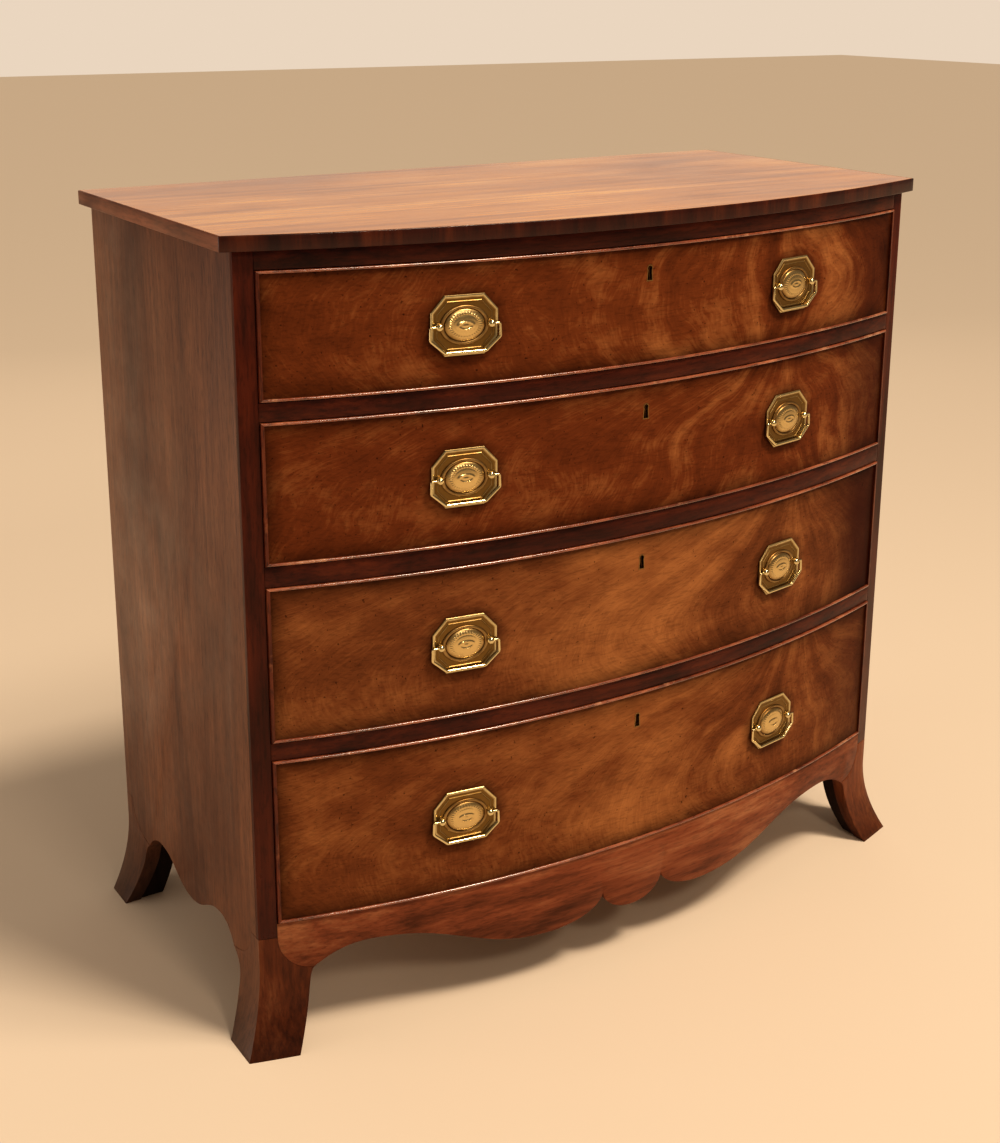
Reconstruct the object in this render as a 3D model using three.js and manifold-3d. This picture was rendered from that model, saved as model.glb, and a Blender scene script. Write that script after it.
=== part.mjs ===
// Bow front chest of drawers: four graduated drawers in a mahogany carcass on splayed bracket feet.
// Millimetres. +Z is up, the bowed front faces -Y, and +X is to the right seen from the front.
// The origin is on the floor, under the middle of the chest's overall box.

import * as THREE from 'three';
import Module from 'manifold-3d';
import { mergeVertices } from 'three/addons/utils/BufferGeometryUtils.js';

const wasm = await Module();
wasm.setup();

// Carcass
const CARCASS_WIDTH = 1024;
const SIDE_DEPTH = 452;
const BOW_RISE = 82;
const SIDE_THICKNESS = 22;
const STILE_THICKNESS = 6;
const TOP_THICKNESS = 18;
const TOP_SIDE_OVERHANG = 16.5;
const TOP_FRONT_OVERHANG = 10;
const BACK_THICKNESS = 10;
const BACK_REBATE_WIDTH = 10;
const BOTTOM_THICKNESS = 14;
const DRAWER_SPACE_FLOOR = 167;

// Rails, runners, dust boards and drawer stops
const TOP_RAIL_HEIGHT = 22;
const UPPER_RAIL_HEIGHT = 22;
const MIDDLE_RAIL_HEIGHT = 25;
const LOWER_RAIL_HEIGHT = 22;
const RAIL_DEPTH = 60;
const RUNNER_WIDTH = 30;
const DUST_BOARD_THICKNESS = 9;
const DUST_BOARD_DROP = 7;
const DUST_BOARD_TONGUE = 8;
const STOP_PLACE = 210;
const STOP_WIDTH = 40;
const STOP_DEPTH = 16;
const STOP_HEIGHT = 4;

// Apron: its lower edge runs from a pendant in the middle over a cusp and a lobe to an arch at each foot
const APRON_THICKNESS = 22;
const PENDANT_HEIGHT = 73;
const CUSP_PLACE = 49;
const CUSP_HEIGHT = 107;
const LOBE_PLACE = 130;
const LOBE_HEIGHT = 71.5;
const APRON_ARCH_PLACE = 378;
const APRON_ARCH_HEIGHT = 125;
const APRON_SHOULDER_SHARE = 0.54;
const SWEEP_EASE_SHARE = 0.45;

// Lower edge of a side: an arch behind each foot and a shallow drop between them
const SIDE_FRONT_ARCH_PLACE = 117;
const SIDE_BACK_ARCH_PLACE = 132;
const SIDE_ARCH_HEIGHT = 125;
const SIDE_DROP_HEIGHT = 95;
const SIDE_SHOULDER_SHARE = 0.4;

// Feet: solid brackets that curve outwards as they come down
const FOOT_TOP = 148;
const FOOT_JOINT_HEIGHT = 100;
const FOOT_WAIST_HEIGHT = 70;
const SPLAY_HEIGHT = 112;
const SPLAY_SIDEWAYS = 29;
const SPLAY_FORWARDS = 25;
const FRONT_WING = { floor: 60, waist: 60, joint: 65 };
const SIDE_WING = { floor: 56, waist: 56, joint: 79 };
const REAR_SIDE_WING = { floor: 50, waist: 70, joint: 83 };
const REAR_BACK_WING = { floor: 58, waist: 62, joint: 70 };
const BLOCK_WIDTH = 26;
const BLOCK_HEAD_BOTTOM = 90;
const BLOCK_SETBACK = 1;
const BLOCK_LAP = 18;

// Drawers
const TOP_DRAWER_HEIGHT = 149;
const SECOND_DRAWER_HEIGHT = 171;
const THIRD_DRAWER_HEIGHT = 195;
const BOTTOM_DRAWER_HEIGHT = 217;
const TOP_HANDLE_DROP = 1;
const SECOND_HANDLE_DROP = 1;
const THIRD_HANDLE_DROP = 2.5;
const BOTTOM_HANDLE_DROP = 5.5;
const DRAWER_GAP = 1;
const FRONT_THICKNESS = 22;
const BEAD_WIDTH = 3.6;
const BEAD_PROUD = 2.6;
const BEAD_SEAT = 6;
const DRAWER_SIDE_THICKNESS = 10;
const DRAWER_BACK_THICKNESS = 9;
const DRAWER_BOTTOM_THICKNESS = 7;
const DRAWER_BOTTOM_RISE = 9;
const DRAWER_BOTTOM_TONGUE = 5;
const DRAWER_SIDE_DROP = 3;
const DRAWER_BACK_DROP = 12;
const DRAWER_REAR_SPACE = 14;

// Dovetails between a drawer's front and its sides
const DOVETAIL_LAP = 7;
const DOVETAIL_PITCH = 42;
const DOVETAIL_FLARE = 2.6;
const DOVETAIL_PIN = 9;

// Locks
const LOCK_WIDTH = 70;
const LOCK_HEIGHT = 54;
const LOCK_DEPTH = 13;
const LOCK_BACK_WALL = 2;
const LOCK_SLOT_DEPTH = 50;
const BOLT_WIDTH = 22;
const BOLT_THICKNESS = 5;
const BOLT_LENGTH = 24;
const BOLT_TRAVEL = 8;
const BOLT_ROOM = 1;
const KEYHOLE_DROP = 29.3;
const KEYHOLE_DROP_SHARE = 0.077;
const KEYHOLE_RADIUS = 3.2;
const KEYHOLE_WAIST = 5;
const KEYHOLE_FOOT = 7.2;
const KEYHOLE_LENGTH = 14.6;

// Handles: a stamped octagonal plate, two ball headed posts and a hanging bail
const HANDLE_PLACE = 254;
const PLATE_WIDTH = 85;
const PLATE_HEIGHT = 72;
const PLATE_TOP_EDGE = 50;
const PLATE_SIDE_EDGE = 33.5;
const PLATE_THICKNESS = 1;
const PLATE_RIM_WIDTH = 4.4;
const PLATE_RIM_HEIGHT = 1.1;
const DOME_WIDTH = 62;
const DOME_HEIGHT = 47;
const DOME_RING_WIDTH = 5.5;
const DOME_RING_RISE = 1.6;
const DOME_RISE = 4.2;
const BOSS_WIDTH = 28;
const BOSS_HEIGHT = 12;
const BOSS_RISE = 0.9;
const POST_SPACING = 65;
const POST_RADIUS = 2.6;
const BALL_RADIUS = 5;
const PIVOT_STANDOFF = 5;
const NUT_RADIUS = 6.5;
const NUT_THICKNESS = 4;
const BAIL_SPAN = 88;
const BAIL_STRAIGHT = 15.5;
const BAIL_DROP = 31.5;
const BAIL_GRIP = 51;
const BAIL_WIDTH = 4;
const BAIL_THICKNESS = 4;
const BAIL_BEVEL = 0.9;
const PIN_RADIUS = 1.5;
const PIN_DEPTH = 3.6;

// Clearance of a joint, and how far a cutter runs past what it cuts
const FIT = 0.3;
const OVERRUN = 5;

// Counts of facets
const BOW_FACETS = 16;
const CURVE_STEPS = 7;
const FOOT_STEPS = 6;
const ROUND_SIDES = 8;
const BALL_RINGS = 6;
const DOME_SIDES = 16;
const NUT_SIDES = 6;

// Derived sizes
const HALF_WIDTH = CARCASS_WIDTH / 2;
const INNER_HALF_WIDTH = HALF_WIDTH - SIDE_THICKNESS;
const OVERALL_DEPTH = SIDE_DEPTH + BOW_RISE + TOP_FRONT_OVERHANG;
const BACK_Y = OVERALL_DEPTH / 2;
const CORNER_Y = BACK_Y - SIDE_DEPTH;
const BACK_PANEL_Y = BACK_Y - BACK_THICKNESS;
const BOW_RADIUS = (HALF_WIDTH ** 2 + BOW_RISE ** 2) / (2 * BOW_RISE);
const BOW_CENTRE_Y = CORNER_Y + BOW_RADIUS - BOW_RISE;
const FACET_WIDTH = CARCASS_WIDTH / BOW_FACETS;
const FOOT_THICKNESS = SIDE_THICKNESS;
const FRONT_HALF_WIDTH = INNER_HALF_WIDTH - DRAWER_GAP;
const DRAWER_INNER_HALF_WIDTH = FRONT_HALF_WIDTH - DRAWER_SIDE_THICKNESS;
const DRAWER_REAR_Y = BACK_PANEL_Y - DRAWER_REAR_SPACE;
const UNDER_BOTTOM = DRAWER_SPACE_FLOOR - BOTTOM_THICKNESS;

// Drawers from the floor upwards, each with the rail above it, then the heights that follow from them
const DRAWERS = [
  { name: 'drawer_4', height: BOTTOM_DRAWER_HEIGHT, rail: LOWER_RAIL_HEIGHT, handleDrop: BOTTOM_HANDLE_DROP },
  { name: 'drawer_3', height: THIRD_DRAWER_HEIGHT, rail: MIDDLE_RAIL_HEIGHT, handleDrop: THIRD_HANDLE_DROP },
  { name: 'drawer_2', height: SECOND_DRAWER_HEIGHT, rail: UPPER_RAIL_HEIGHT, handleDrop: SECOND_HANDLE_DROP },
  { name: 'drawer_1', height: TOP_DRAWER_HEIGHT, rail: TOP_RAIL_HEIGHT, handleDrop: TOP_HANDLE_DROP },
];
let level = DRAWER_SPACE_FLOOR;
for (const drawer of DRAWERS) {
  drawer.floor = level;
  drawer.bottom = level + DRAWER_GAP;
  drawer.top = drawer.bottom + drawer.height;
  drawer.ceiling = drawer.top + DRAWER_GAP;
  level = drawer.ceiling + drawer.rail;
}
const TOP_UNDERSIDE = level;

const WOODS = {
  top: { color: 0xb5763f, roughness: 0.3, metalness: 0 },
  side: { color: 0x6a4630, roughness: 0.45, metalness: 0 },
  front: { color: 0x7d3c17, roughness: 0.3, metalness: 0 },
  rail: { color: 0x4a2013, roughness: 0.35, metalness: 0 },
  foot: { color: 0x5c2e1a, roughness: 0.4, metalness: 0 },
  lining: { color: 0xa8814f, roughness: 0.7, metalness: 0 },
};
const BRASS = { color: 0xb08a45, roughness: 0.3, metalness: 1 };
const IRON = { color: 0x6d6a62, roughness: 0.5, metalness: 1 };

// Booleans

function solidOf(geometry) {
  const bare = geometry.clone();
  bare.deleteAttribute('normal');
  bare.deleteAttribute('uv');
  const merged = mergeVertices(bare);
  return new wasm.Manifold(new wasm.Mesh({
    numProp: 3,
    vertProperties: merged.attributes.position.array,
    triVerts: new Uint32Array(merged.index.array),
  }));
}

function geometryOf(solid) {
  const mesh = solid.getMesh();
  const geometry = new THREE.BufferGeometry();
  geometry.setAttribute('position', new THREE.BufferAttribute(mesh.vertProperties, 3));
  geometry.setIndex(new THREE.BufferAttribute(mesh.triVerts, 1));
  geometry.computeVertexNormals();
  return geometry;
}

function joined(solids) {
  return solids.reduce((whole, solid) => whole.add(solid));
}

// Plain solids

function box(x0, x1, y0, y1, z0, z1) {
  const geometry = new THREE.BoxGeometry(x1 - x0, y1 - y0, z1 - z0);
  geometry.translate((x0 + x1) / 2, (y0 + y1) / 2, (z0 + z1) / 2);
  return solidOf(geometry);
}

// A box beside the middle plane: side is 1 on the right and -1 on the left
function sideBox(side, near, far, y0, y1, z0, z1) {
  return box(Math.min(side * near, side * far), Math.max(side * near, side * far), y0, y1, z0, z1);
}

// An outline in plan, extruded upwards
function upright(points, z0, z1, steps = 1) {
  const geometry = new THREE.ExtrudeGeometry(new THREE.Shape(points), {
    depth: z1 - z0,
    steps,
    bevelEnabled: false,
  });
  geometry.translate(0, 0, z0);
  return geometry;
}

// An outline seen from the front, with x and z, extruded from y0 to y1
function throughDepth(points, y0, y1) {
  const geometry = new THREE.ExtrudeGeometry(new THREE.Shape(points), { depth: y1 - y0, bevelEnabled: false });
  geometry.rotateX(Math.PI / 2);
  geometry.translate(0, y1, 0);
  return solidOf(geometry);
}

// An outline seen from the side, with y and z, extruded from x0 to x1
function throughWidth(points, x0, x1) {
  const geometry = new THREE.ExtrudeGeometry(new THREE.Shape(points), { depth: x1 - x0, bevelEnabled: false });
  const along = new THREE.Matrix4().makeBasis(
    new THREE.Vector3(0, 1, 0),
    new THREE.Vector3(0, 0, 1),
    new THREE.Vector3(1, 0, 0),
  );
  geometry.applyMatrix4(along);
  geometry.translate(x0, 0, 0);
  return solidOf(geometry);
}

// The bow, in flat facets that every curved piece shares

function arcY(x, inset) {
  return BOW_CENTRE_Y - Math.sqrt((BOW_RADIUS - inset) ** 2 - x ** 2);
}

function bowY(x, inset) {
  const place = (x + HALF_WIDTH) / FACET_WIDTH;
  const left = Math.floor(place) * FACET_WIDTH - HALF_WIDTH;
  const share = place - Math.floor(place);
  return (1 - share) * arcY(left, inset) + share * arcY(left + FACET_WIDTH, inset);
}

function bowLine(x0, x1, inset) {
  const points = [new THREE.Vector2(x0, bowY(x0, inset))];
  const first = Math.floor((x0 + HALF_WIDTH) / FACET_WIDTH) + 1;
  for (let x = first * FACET_WIDTH - HALF_WIDTH; x < x1; x = x + FACET_WIDTH) {
    if (x - x0 > FIT && x1 - x > FIT) {
      points.push(new THREE.Vector2(x, arcY(x, inset)));
    }
  }
  points.push(new THREE.Vector2(x1, bowY(x1, inset)));
  return points;
}

// A board bent along the bow, between two insets from the face
function bentBoard(x0, x1, faceInset, backInset, z0, z1) {
  const points = [...bowLine(x0, x1, faceInset), ...bowLine(x0, x1, backInset).reverse()];
  return solidOf(upright(points, z0, z1));
}

// A flat board whose front edge follows the bow and whose back edge is straight
function bowedBoard(x0, x1, inset, backY, z0, z1) {
  const points = [...bowLine(x0, x1, inset), new THREE.Vector2(x1, backY), new THREE.Vector2(x0, backY)];
  return solidOf(upright(points, z0, z1));
}

// Top, back and bottom

function topBoard() {
  const reach = HALF_WIDTH + TOP_SIDE_OVERHANG;
  return bowedBoard(-reach, reach, -TOP_FRONT_OVERHANG, BACK_Y, TOP_UNDERSIDE, TOP_UNDERSIDE + TOP_THICKNESS);
}

function backPanel() {
  const reach = INNER_HALF_WIDTH + BACK_REBATE_WIDTH - FIT;
  return box(-reach, reach, BACK_PANEL_Y, BACK_Y, FOOT_TOP + FIT, TOP_UNDERSIDE - FIT);
}

function drawerStops(z) {
  const stops = [];
  for (const place of [-STOP_PLACE, STOP_PLACE]) {
    const face = arcY(Math.abs(place) + STOP_WIDTH / 2, FRONT_THICKNESS + FIT);
    stops.push(box(place - STOP_WIDTH / 2, place + STOP_WIDTH / 2, face, face + STOP_DEPTH, z - FIT, z + STOP_HEIGHT));
  }
  return stops;
}

function bottomBoard() {
  const reach = INNER_HALF_WIDTH - FIT;
  const board = bowedBoard(
    -reach,
    reach,
    APRON_THICKNESS + FIT,
    BACK_PANEL_Y - FIT,
    UNDER_BOTTOM,
    DRAWER_SPACE_FLOOR,
  );
  return joined([board, ...drawerStops(DRAWER_SPACE_FLOOR)]);
}

// Feet

// How far the splay has gone at a height, from 0 above it to 1 on the floor
function splayShare(z) {
  return Math.max(0, 1 - z / SPLAY_HEIGHT) ** 2;
}

// The free edge of a wing of a foot, as distances from the carcass corner, up to its joint with the board above
function wingEdge(wing) {
  const edge = new THREE.Path();
  edge.moveTo(wing.floor, 0);
  for (let step = 1; step <= FOOT_STEPS; step = step + 1) {
    const share = step / FOOT_STEPS;
    edge.lineTo(wing.floor + share * (wing.waist - wing.floor), share * FOOT_WAIST_HEIGHT);
  }
  edge.quadraticCurveTo(wing.waist, FOOT_JOINT_HEIGHT - (wing.joint - wing.waist) / 2, wing.joint, FOOT_JOINT_HEIGHT);
  return edge.getPoints(CURVE_STEPS);
}

// The curved joint between a wing and the board above it, from the free edge up to the corner
function wingJoint(wing, clearance) {
  const joint = new THREE.Path();
  const reach = wing.joint - SIDE_THICKNESS - clearance;
  const rise = FOOT_TOP - FOOT_JOINT_HEIGHT - clearance;
  joint.absellipse(wing.joint, FOOT_TOP, reach, rise, 1.5 * Math.PI, Math.PI, true);
  return joint.getPoints(CURVE_STEPS);
}

// The whole face of a wing, moved outwards by the splay, with a margin past the corner
function wingFace(wing, splay) {
  const points = [...wingEdge(wing), ...wingJoint(wing, 0).slice(1)];
  const face = points.map((point) => new THREE.Vector2(point.x - splay * splayShare(point.y), point.y));
  face.push(new THREE.Vector2(-splay - OVERRUN, FOOT_TOP));
  face.push(new THREE.Vector2(-splay - OVERRUN, -OVERRUN));
  face.push(new THREE.Vector2(face[0].x, -OVERRUN));
  return face;
}

// An L section run up from the floor, then pushed outwards level by level
function splayedAngle(section, side, sideways, forwards) {
  const geometry = upright(section, 0, FOOT_TOP, FOOT_STEPS + CURVE_STEPS);
  const place = geometry.attributes.position;
  for (let i = 0; i < place.count; i = i + 1) {
    const share = splayShare(place.getZ(i));
    place.setX(i, place.getX(i) + side * sideways * share);
    place.setY(i, place.getY(i) - forwards * share);
  }
  return solidOf(geometry);
}

// A glue block in the corner of a foot. It stands on the floor, follows the curve of the foot and is let into both
// wings below their joints; above them a plain head reaches the bottom board. The wing across the chest lies before
// or behind it: facing is -1 at the front and 1 at the back.
function cornerBlock(side, facing, wing, forwards) {
  const face = facing < 0 ? CORNER_Y + FOOT_THICKNESS : BACK_Y - FOOT_THICKNESS;
  const sunk = face + facing * BLOCK_LAP;
  const lap = INNER_HALF_WIDTH + BLOCK_LAP / 2;
  const free = HALF_WIDTH - wing.floor + BLOCK_SETBACK;
  const behind = facing < 0 ? bowY(free, FOOT_THICKNESS) : face;
  const far = behind - facing * BLOCK_WIDTH;
  const section = [
    new THREE.Vector2(side * free, sunk),
    new THREE.Vector2(side * lap, sunk),
    new THREE.Vector2(side * lap, far),
    new THREE.Vector2(side * free, far),
  ];
  const low = Math.min(sunk, far) - SPLAY_FORWARDS - OVERRUN;
  const high = Math.max(sunk, far) + OVERRUN;
  const outside = lap + SPLAY_SIDEWAYS + OVERRUN;
  const seam = FOOT_JOINT_HEIGHT - FIT;
  const curved = splayedAngle(section, side, SPLAY_SIDEWAYS, forwards).intersect(
    sideBox(side, free - OVERRUN, outside, low, high, -OVERRUN, seam),
  );
  const inner = INNER_HALF_WIDTH - BLOCK_WIDTH;
  const top = UNDER_BOTTOM - FIT;
  const near = Math.min(face, face - facing * BLOCK_WIDTH);
  const head = sideBox(side, inner, INNER_HALF_WIDTH - FIT, near, near + BLOCK_WIDTH, BLOCK_HEAD_BOTTOM, top);
  return curved.add(head);
}

function frontFoot(side) {
  const outer = side * HALF_WIDTH;
  const inner = side * (HALF_WIDTH - FOOT_THICKNESS);
  const frontEnd = side * (HALF_WIDTH - FRONT_WING.joint);
  const sideEnd = CORNER_Y + SIDE_WING.joint;
  const facing = bowLine(Math.min(outer, frontEnd), Math.max(outer, frontEnd), 0);
  const behind = bowLine(Math.min(inner, frontEnd), Math.max(inner, frontEnd), FOOT_THICKNESS);
  const fromCorner = side < 0 ? facing : facing.reverse();
  const toCorner = side < 0 ? behind.reverse() : behind;
  const section = [
    ...fromCorner,
    ...toCorner,
    new THREE.Vector2(inner, sideEnd),
    new THREE.Vector2(outer, sideEnd),
  ];
  const angle = splayedAngle(section, side, SPLAY_SIDEWAYS, SPLAY_FORWARDS);
  const frontOutline = wingFace(FRONT_WING, SPLAY_SIDEWAYS).map(
    (point) => new THREE.Vector2(side * (HALF_WIDTH - point.x), point.y),
  );
  const sideOutline = wingFace(SIDE_WING, SPLAY_FORWARDS).map(
    (point) => new THREE.Vector2(CORNER_Y + point.x, point.y),
  );
  const frontReach = CORNER_Y - BOW_RISE - SPLAY_FORWARDS;
  const frontMask = throughDepth(frontOutline, frontReach, CORNER_Y + FOOT_THICKNESS);
  const far = side * (HALF_WIDTH + SPLAY_SIDEWAYS + OVERRUN);
  const sideMask = throughWidth(sideOutline, Math.min(inner, far), Math.max(inner, far));
  return angle.intersect(frontMask.add(sideMask)).add(cornerBlock(side, -1, FRONT_WING, SPLAY_FORWARDS));
}

function rearFoot(side) {
  const outer = side * HALF_WIDTH;
  const inner = side * (HALF_WIDTH - FOOT_THICKNESS);
  const backEnd = side * (HALF_WIDTH - REAR_BACK_WING.joint);
  const sideEnd = BACK_Y - REAR_SIDE_WING.joint;
  const section = [
    new THREE.Vector2(outer, BACK_Y),
    new THREE.Vector2(outer, sideEnd),
    new THREE.Vector2(inner, sideEnd),
    new THREE.Vector2(inner, BACK_Y - FOOT_THICKNESS),
    new THREE.Vector2(backEnd, BACK_Y - FOOT_THICKNESS),
    new THREE.Vector2(backEnd, BACK_Y),
  ];
  const angle = splayedAngle(section, side, SPLAY_SIDEWAYS, 0);
  const backOutline = wingFace(REAR_BACK_WING, SPLAY_SIDEWAYS).map(
    (point) => new THREE.Vector2(side * (HALF_WIDTH - point.x), point.y),
  );
  const sideOutline = wingFace(REAR_SIDE_WING, 0).map((point) => new THREE.Vector2(BACK_Y - point.x, point.y));
  const backMask = throughDepth(backOutline, BACK_Y - FOOT_THICKNESS, BACK_Y + OVERRUN);
  const far = side * (HALF_WIDTH + SPLAY_SIDEWAYS + OVERRUN);
  const sideMask = throughWidth(sideOutline, Math.min(inner, far), Math.max(inner, far));
  return angle.intersect(backMask.add(sideMask)).add(cornerBlock(side, 1, REAR_BACK_WING, 0));
}

// Sides and stiles

// Lower edge of a side, from the back to the front, with y and z
function sideLowerEdge() {
  const edge = new THREE.Path();
  const backJoint = BACK_Y - REAR_SIDE_WING.joint;
  const backArch = BACK_Y - SIDE_BACK_ARCH_PLACE;
  const frontArch = CORNER_Y + SIDE_FRONT_ARCH_PLACE;
  const frontJoint = CORNER_Y + SIDE_WING.joint;
  const middle = (backArch + frontArch) / 2;
  const ease = SWEEP_EASE_SHARE * (backArch - middle);
  const backShoulder = backJoint + SIDE_SHOULDER_SHARE * (backArch - backJoint);
  const frontShoulder = frontJoint + SIDE_SHOULDER_SHARE * (frontArch - frontJoint);
  edge.moveTo(backJoint, FOOT_JOINT_HEIGHT + FIT);
  edge.quadraticCurveTo(backShoulder, SIDE_ARCH_HEIGHT, backArch, SIDE_ARCH_HEIGHT);
  edge.bezierCurveTo(backArch - ease, SIDE_ARCH_HEIGHT, middle + ease, SIDE_DROP_HEIGHT, middle, SIDE_DROP_HEIGHT);
  edge.bezierCurveTo(middle - ease, SIDE_DROP_HEIGHT, frontArch + ease, SIDE_ARCH_HEIGHT, frontArch, SIDE_ARCH_HEIGHT);
  edge.quadraticCurveTo(frontShoulder, SIDE_ARCH_HEIGHT, frontJoint, FOOT_JOINT_HEIGHT + FIT);
  return edge.getPoints(CURVE_STEPS);
}

function sideBoard(side) {
  const near = side * INNER_HALF_WIDTH;
  const far = side * HALF_WIDTH;
  const board = bowedBoard(
    Math.min(near, far),
    Math.max(near, far),
    STILE_THICKNESS + FIT,
    BACK_Y,
    SIDE_DROP_HEIGHT - OVERRUN,
    TOP_UNDERSIDE - FIT,
  );
  const backJoint = wingJoint(REAR_SIDE_WING, FIT).map((point) => new THREE.Vector2(BACK_Y - point.x, point.y));
  const frontJoint = wingJoint(SIDE_WING, FIT).map((point) => new THREE.Vector2(CORNER_Y + point.x, point.y));
  const outline = [
    new THREE.Vector2(BACK_Y + OVERRUN, TOP_UNDERSIDE),
    new THREE.Vector2(BACK_Y + OVERRUN, FOOT_TOP + FIT),
    new THREE.Vector2(backJoint[backJoint.length - 1].x, FOOT_TOP + FIT),
    ...backJoint.reverse(),
    ...sideLowerEdge().slice(1, -1),
    ...frontJoint,
    new THREE.Vector2(frontJoint[frontJoint.length - 1].x, FOOT_TOP + FIT),
    new THREE.Vector2(CORNER_Y - BOW_RISE, FOOT_TOP + FIT),
    new THREE.Vector2(CORNER_Y - BOW_RISE, TOP_UNDERSIDE),
  ];
  const mask = throughWidth(outline, Math.min(near, far) - OVERRUN, Math.max(near, far) + OVERRUN);
  const rebate = sideBox(
    side,
    INNER_HALF_WIDTH - OVERRUN,
    INNER_HALF_WIDTH + BACK_REBATE_WIDTH,
    BACK_PANEL_Y - FIT,
    BACK_Y + OVERRUN,
    FOOT_TOP,
    TOP_UNDERSIDE,
  );
  return board.intersect(mask).subtract(rebate);
}

function stile(side) {
  const near = side * INNER_HALF_WIDTH;
  const far = side * HALF_WIDTH;
  return bentBoard(Math.min(near, far), Math.max(near, far), 0, STILE_THICKNESS, FOOT_TOP + FIT, TOP_UNDERSIDE - FIT);
}

// Rails and apron

// Slot in the underside of a rail for the bolt of the drawer below it
function boltMortise(z) {
  const middle = boltY();
  const halfWidth = BOLT_WIDTH / 2 + BOLT_ROOM;
  const halfThickness = BOLT_THICKNESS / 2 + BOLT_ROOM;
  return box(-halfWidth, halfWidth, middle - halfThickness, middle + halfThickness, z - OVERRUN, z + BOLT_TRAVEL + BOLT_ROOM);
}

function rail(z0, z1) {
  const reach = INNER_HALF_WIDTH - FIT;
  return bentBoard(-reach, reach, 0, RAIL_DEPTH, z0, z1).subtract(boltMortise(z0));
}

function topRail() {
  const top = TOP_UNDERSIDE - FIT;
  return rail(top + FIT - TOP_RAIL_HEIGHT, top);
}

// A rail with the dust board and the two drawer runners behind it, and the stops of the drawer above
function divider(drawer) {
  const z0 = drawer.ceiling;
  const z1 = drawer.ceiling + drawer.rail;
  const reach = INNER_HALF_WIDTH - FIT;
  const behindRail = RAIL_DEPTH - DUST_BOARD_TONGUE;
  const dustTop = z1 - DUST_BOARD_DROP;
  const rear = BACK_PANEL_Y - FIT;
  return joined([
    rail(z0, z1),
    bowedBoard(-reach, reach, behindRail, rear, dustTop - DUST_BOARD_THICKNESS, dustTop),
    bowedBoard(-reach, -reach + RUNNER_WIDTH, behindRail, rear, z0, z1),
    bowedBoard(reach - RUNNER_WIDTH, reach, behindRail, rear, z0, z1),
    ...drawerStops(z1),
  ]);
}

// Right half of the apron's lower edge, from the middle to the joint with the foot, with x and z
function apronHalfEdge() {
  const edge = new THREE.Path();
  const joint = HALF_WIDTH - FRONT_WING.joint;
  const ease = SWEEP_EASE_SHARE * (APRON_ARCH_PLACE - LOBE_PLACE);
  const shoulder = APRON_ARCH_PLACE + APRON_SHOULDER_SHARE * (joint - APRON_ARCH_PLACE);
  const lobeReach = LOBE_PLACE - CUSP_PLACE;
  edge.absellipse(0, CUSP_HEIGHT, CUSP_PLACE, CUSP_HEIGHT - PENDANT_HEIGHT, -Math.PI / 2, 0, false);
  edge.absellipse(LOBE_PLACE, CUSP_HEIGHT, lobeReach, CUSP_HEIGHT - LOBE_HEIGHT, Math.PI, 1.5 * Math.PI, false);
  edge.bezierCurveTo(
    LOBE_PLACE + ease,
    LOBE_HEIGHT,
    APRON_ARCH_PLACE - ease,
    APRON_ARCH_HEIGHT,
    APRON_ARCH_PLACE,
    APRON_ARCH_HEIGHT,
  );
  edge.quadraticCurveTo(shoulder, APRON_ARCH_HEIGHT, joint, FOOT_JOINT_HEIGHT + FIT);
  return edge.getPoints(CURVE_STEPS);
}

function apron() {
  const reach = INNER_HALF_WIDTH - FIT;
  const lowest = Math.min(PENDANT_HEIGHT, LOBE_HEIGHT);
  const board = bentBoard(-reach, reach, 0, APRON_THICKNESS, lowest - OVERRUN, DRAWER_SPACE_FLOOR);
  const joint = wingJoint(FRONT_WING, FIT).map((point) => new THREE.Vector2(HALF_WIDTH - point.x, point.y));
  const half = [
    ...apronHalfEdge().slice(0, -1),
    ...joint,
    new THREE.Vector2(reach + OVERRUN, FOOT_TOP),
    new THREE.Vector2(reach + OVERRUN, DRAWER_SPACE_FLOOR + OVERRUN),
  ];
  const otherHalf = half.slice(1).map((point) => new THREE.Vector2(-point.x, point.y));
  const mask = throughDepth([...half, ...otherHalf.reverse()], CORNER_Y - BOW_RISE - OVERRUN, CORNER_Y + RAIL_DEPTH);
  return board.intersect(mask);
}

// Locks

function lockBackY() {
  return arcY(LOCK_WIDTH / 2, FRONT_THICKNESS);
}

function boltY() {
  return lockBackY() - LOCK_BACK_WALL - FIT - BOLT_THICKNESS / 2;
}

// A keyhole seen from the front: a round eye with a slot below it that widens downwards
function keyhole(drawer, y0, y1) {
  const eye = new THREE.CylinderGeometry(KEYHOLE_RADIUS, KEYHOLE_RADIUS, y1 - y0, ROUND_SIDES);
  const drop = KEYHOLE_DROP + KEYHOLE_DROP_SHARE * (drawer.height - TOP_DRAWER_HEIGHT);
  const z = drawer.top - drop;
  eye.translate(0, (y0 + y1) / 2, z);
  const slot = [
    new THREE.Vector2(KEYHOLE_WAIST / 2, z),
    new THREE.Vector2(-KEYHOLE_WAIST / 2, z),
    new THREE.Vector2(-KEYHOLE_FOOT / 2, z - KEYHOLE_LENGTH),
    new THREE.Vector2(KEYHOLE_FOOT / 2, z - KEYHOLE_LENGTH),
  ];
  return solidOf(eye).add(throughDepth(slot, y0, y1));
}

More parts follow.
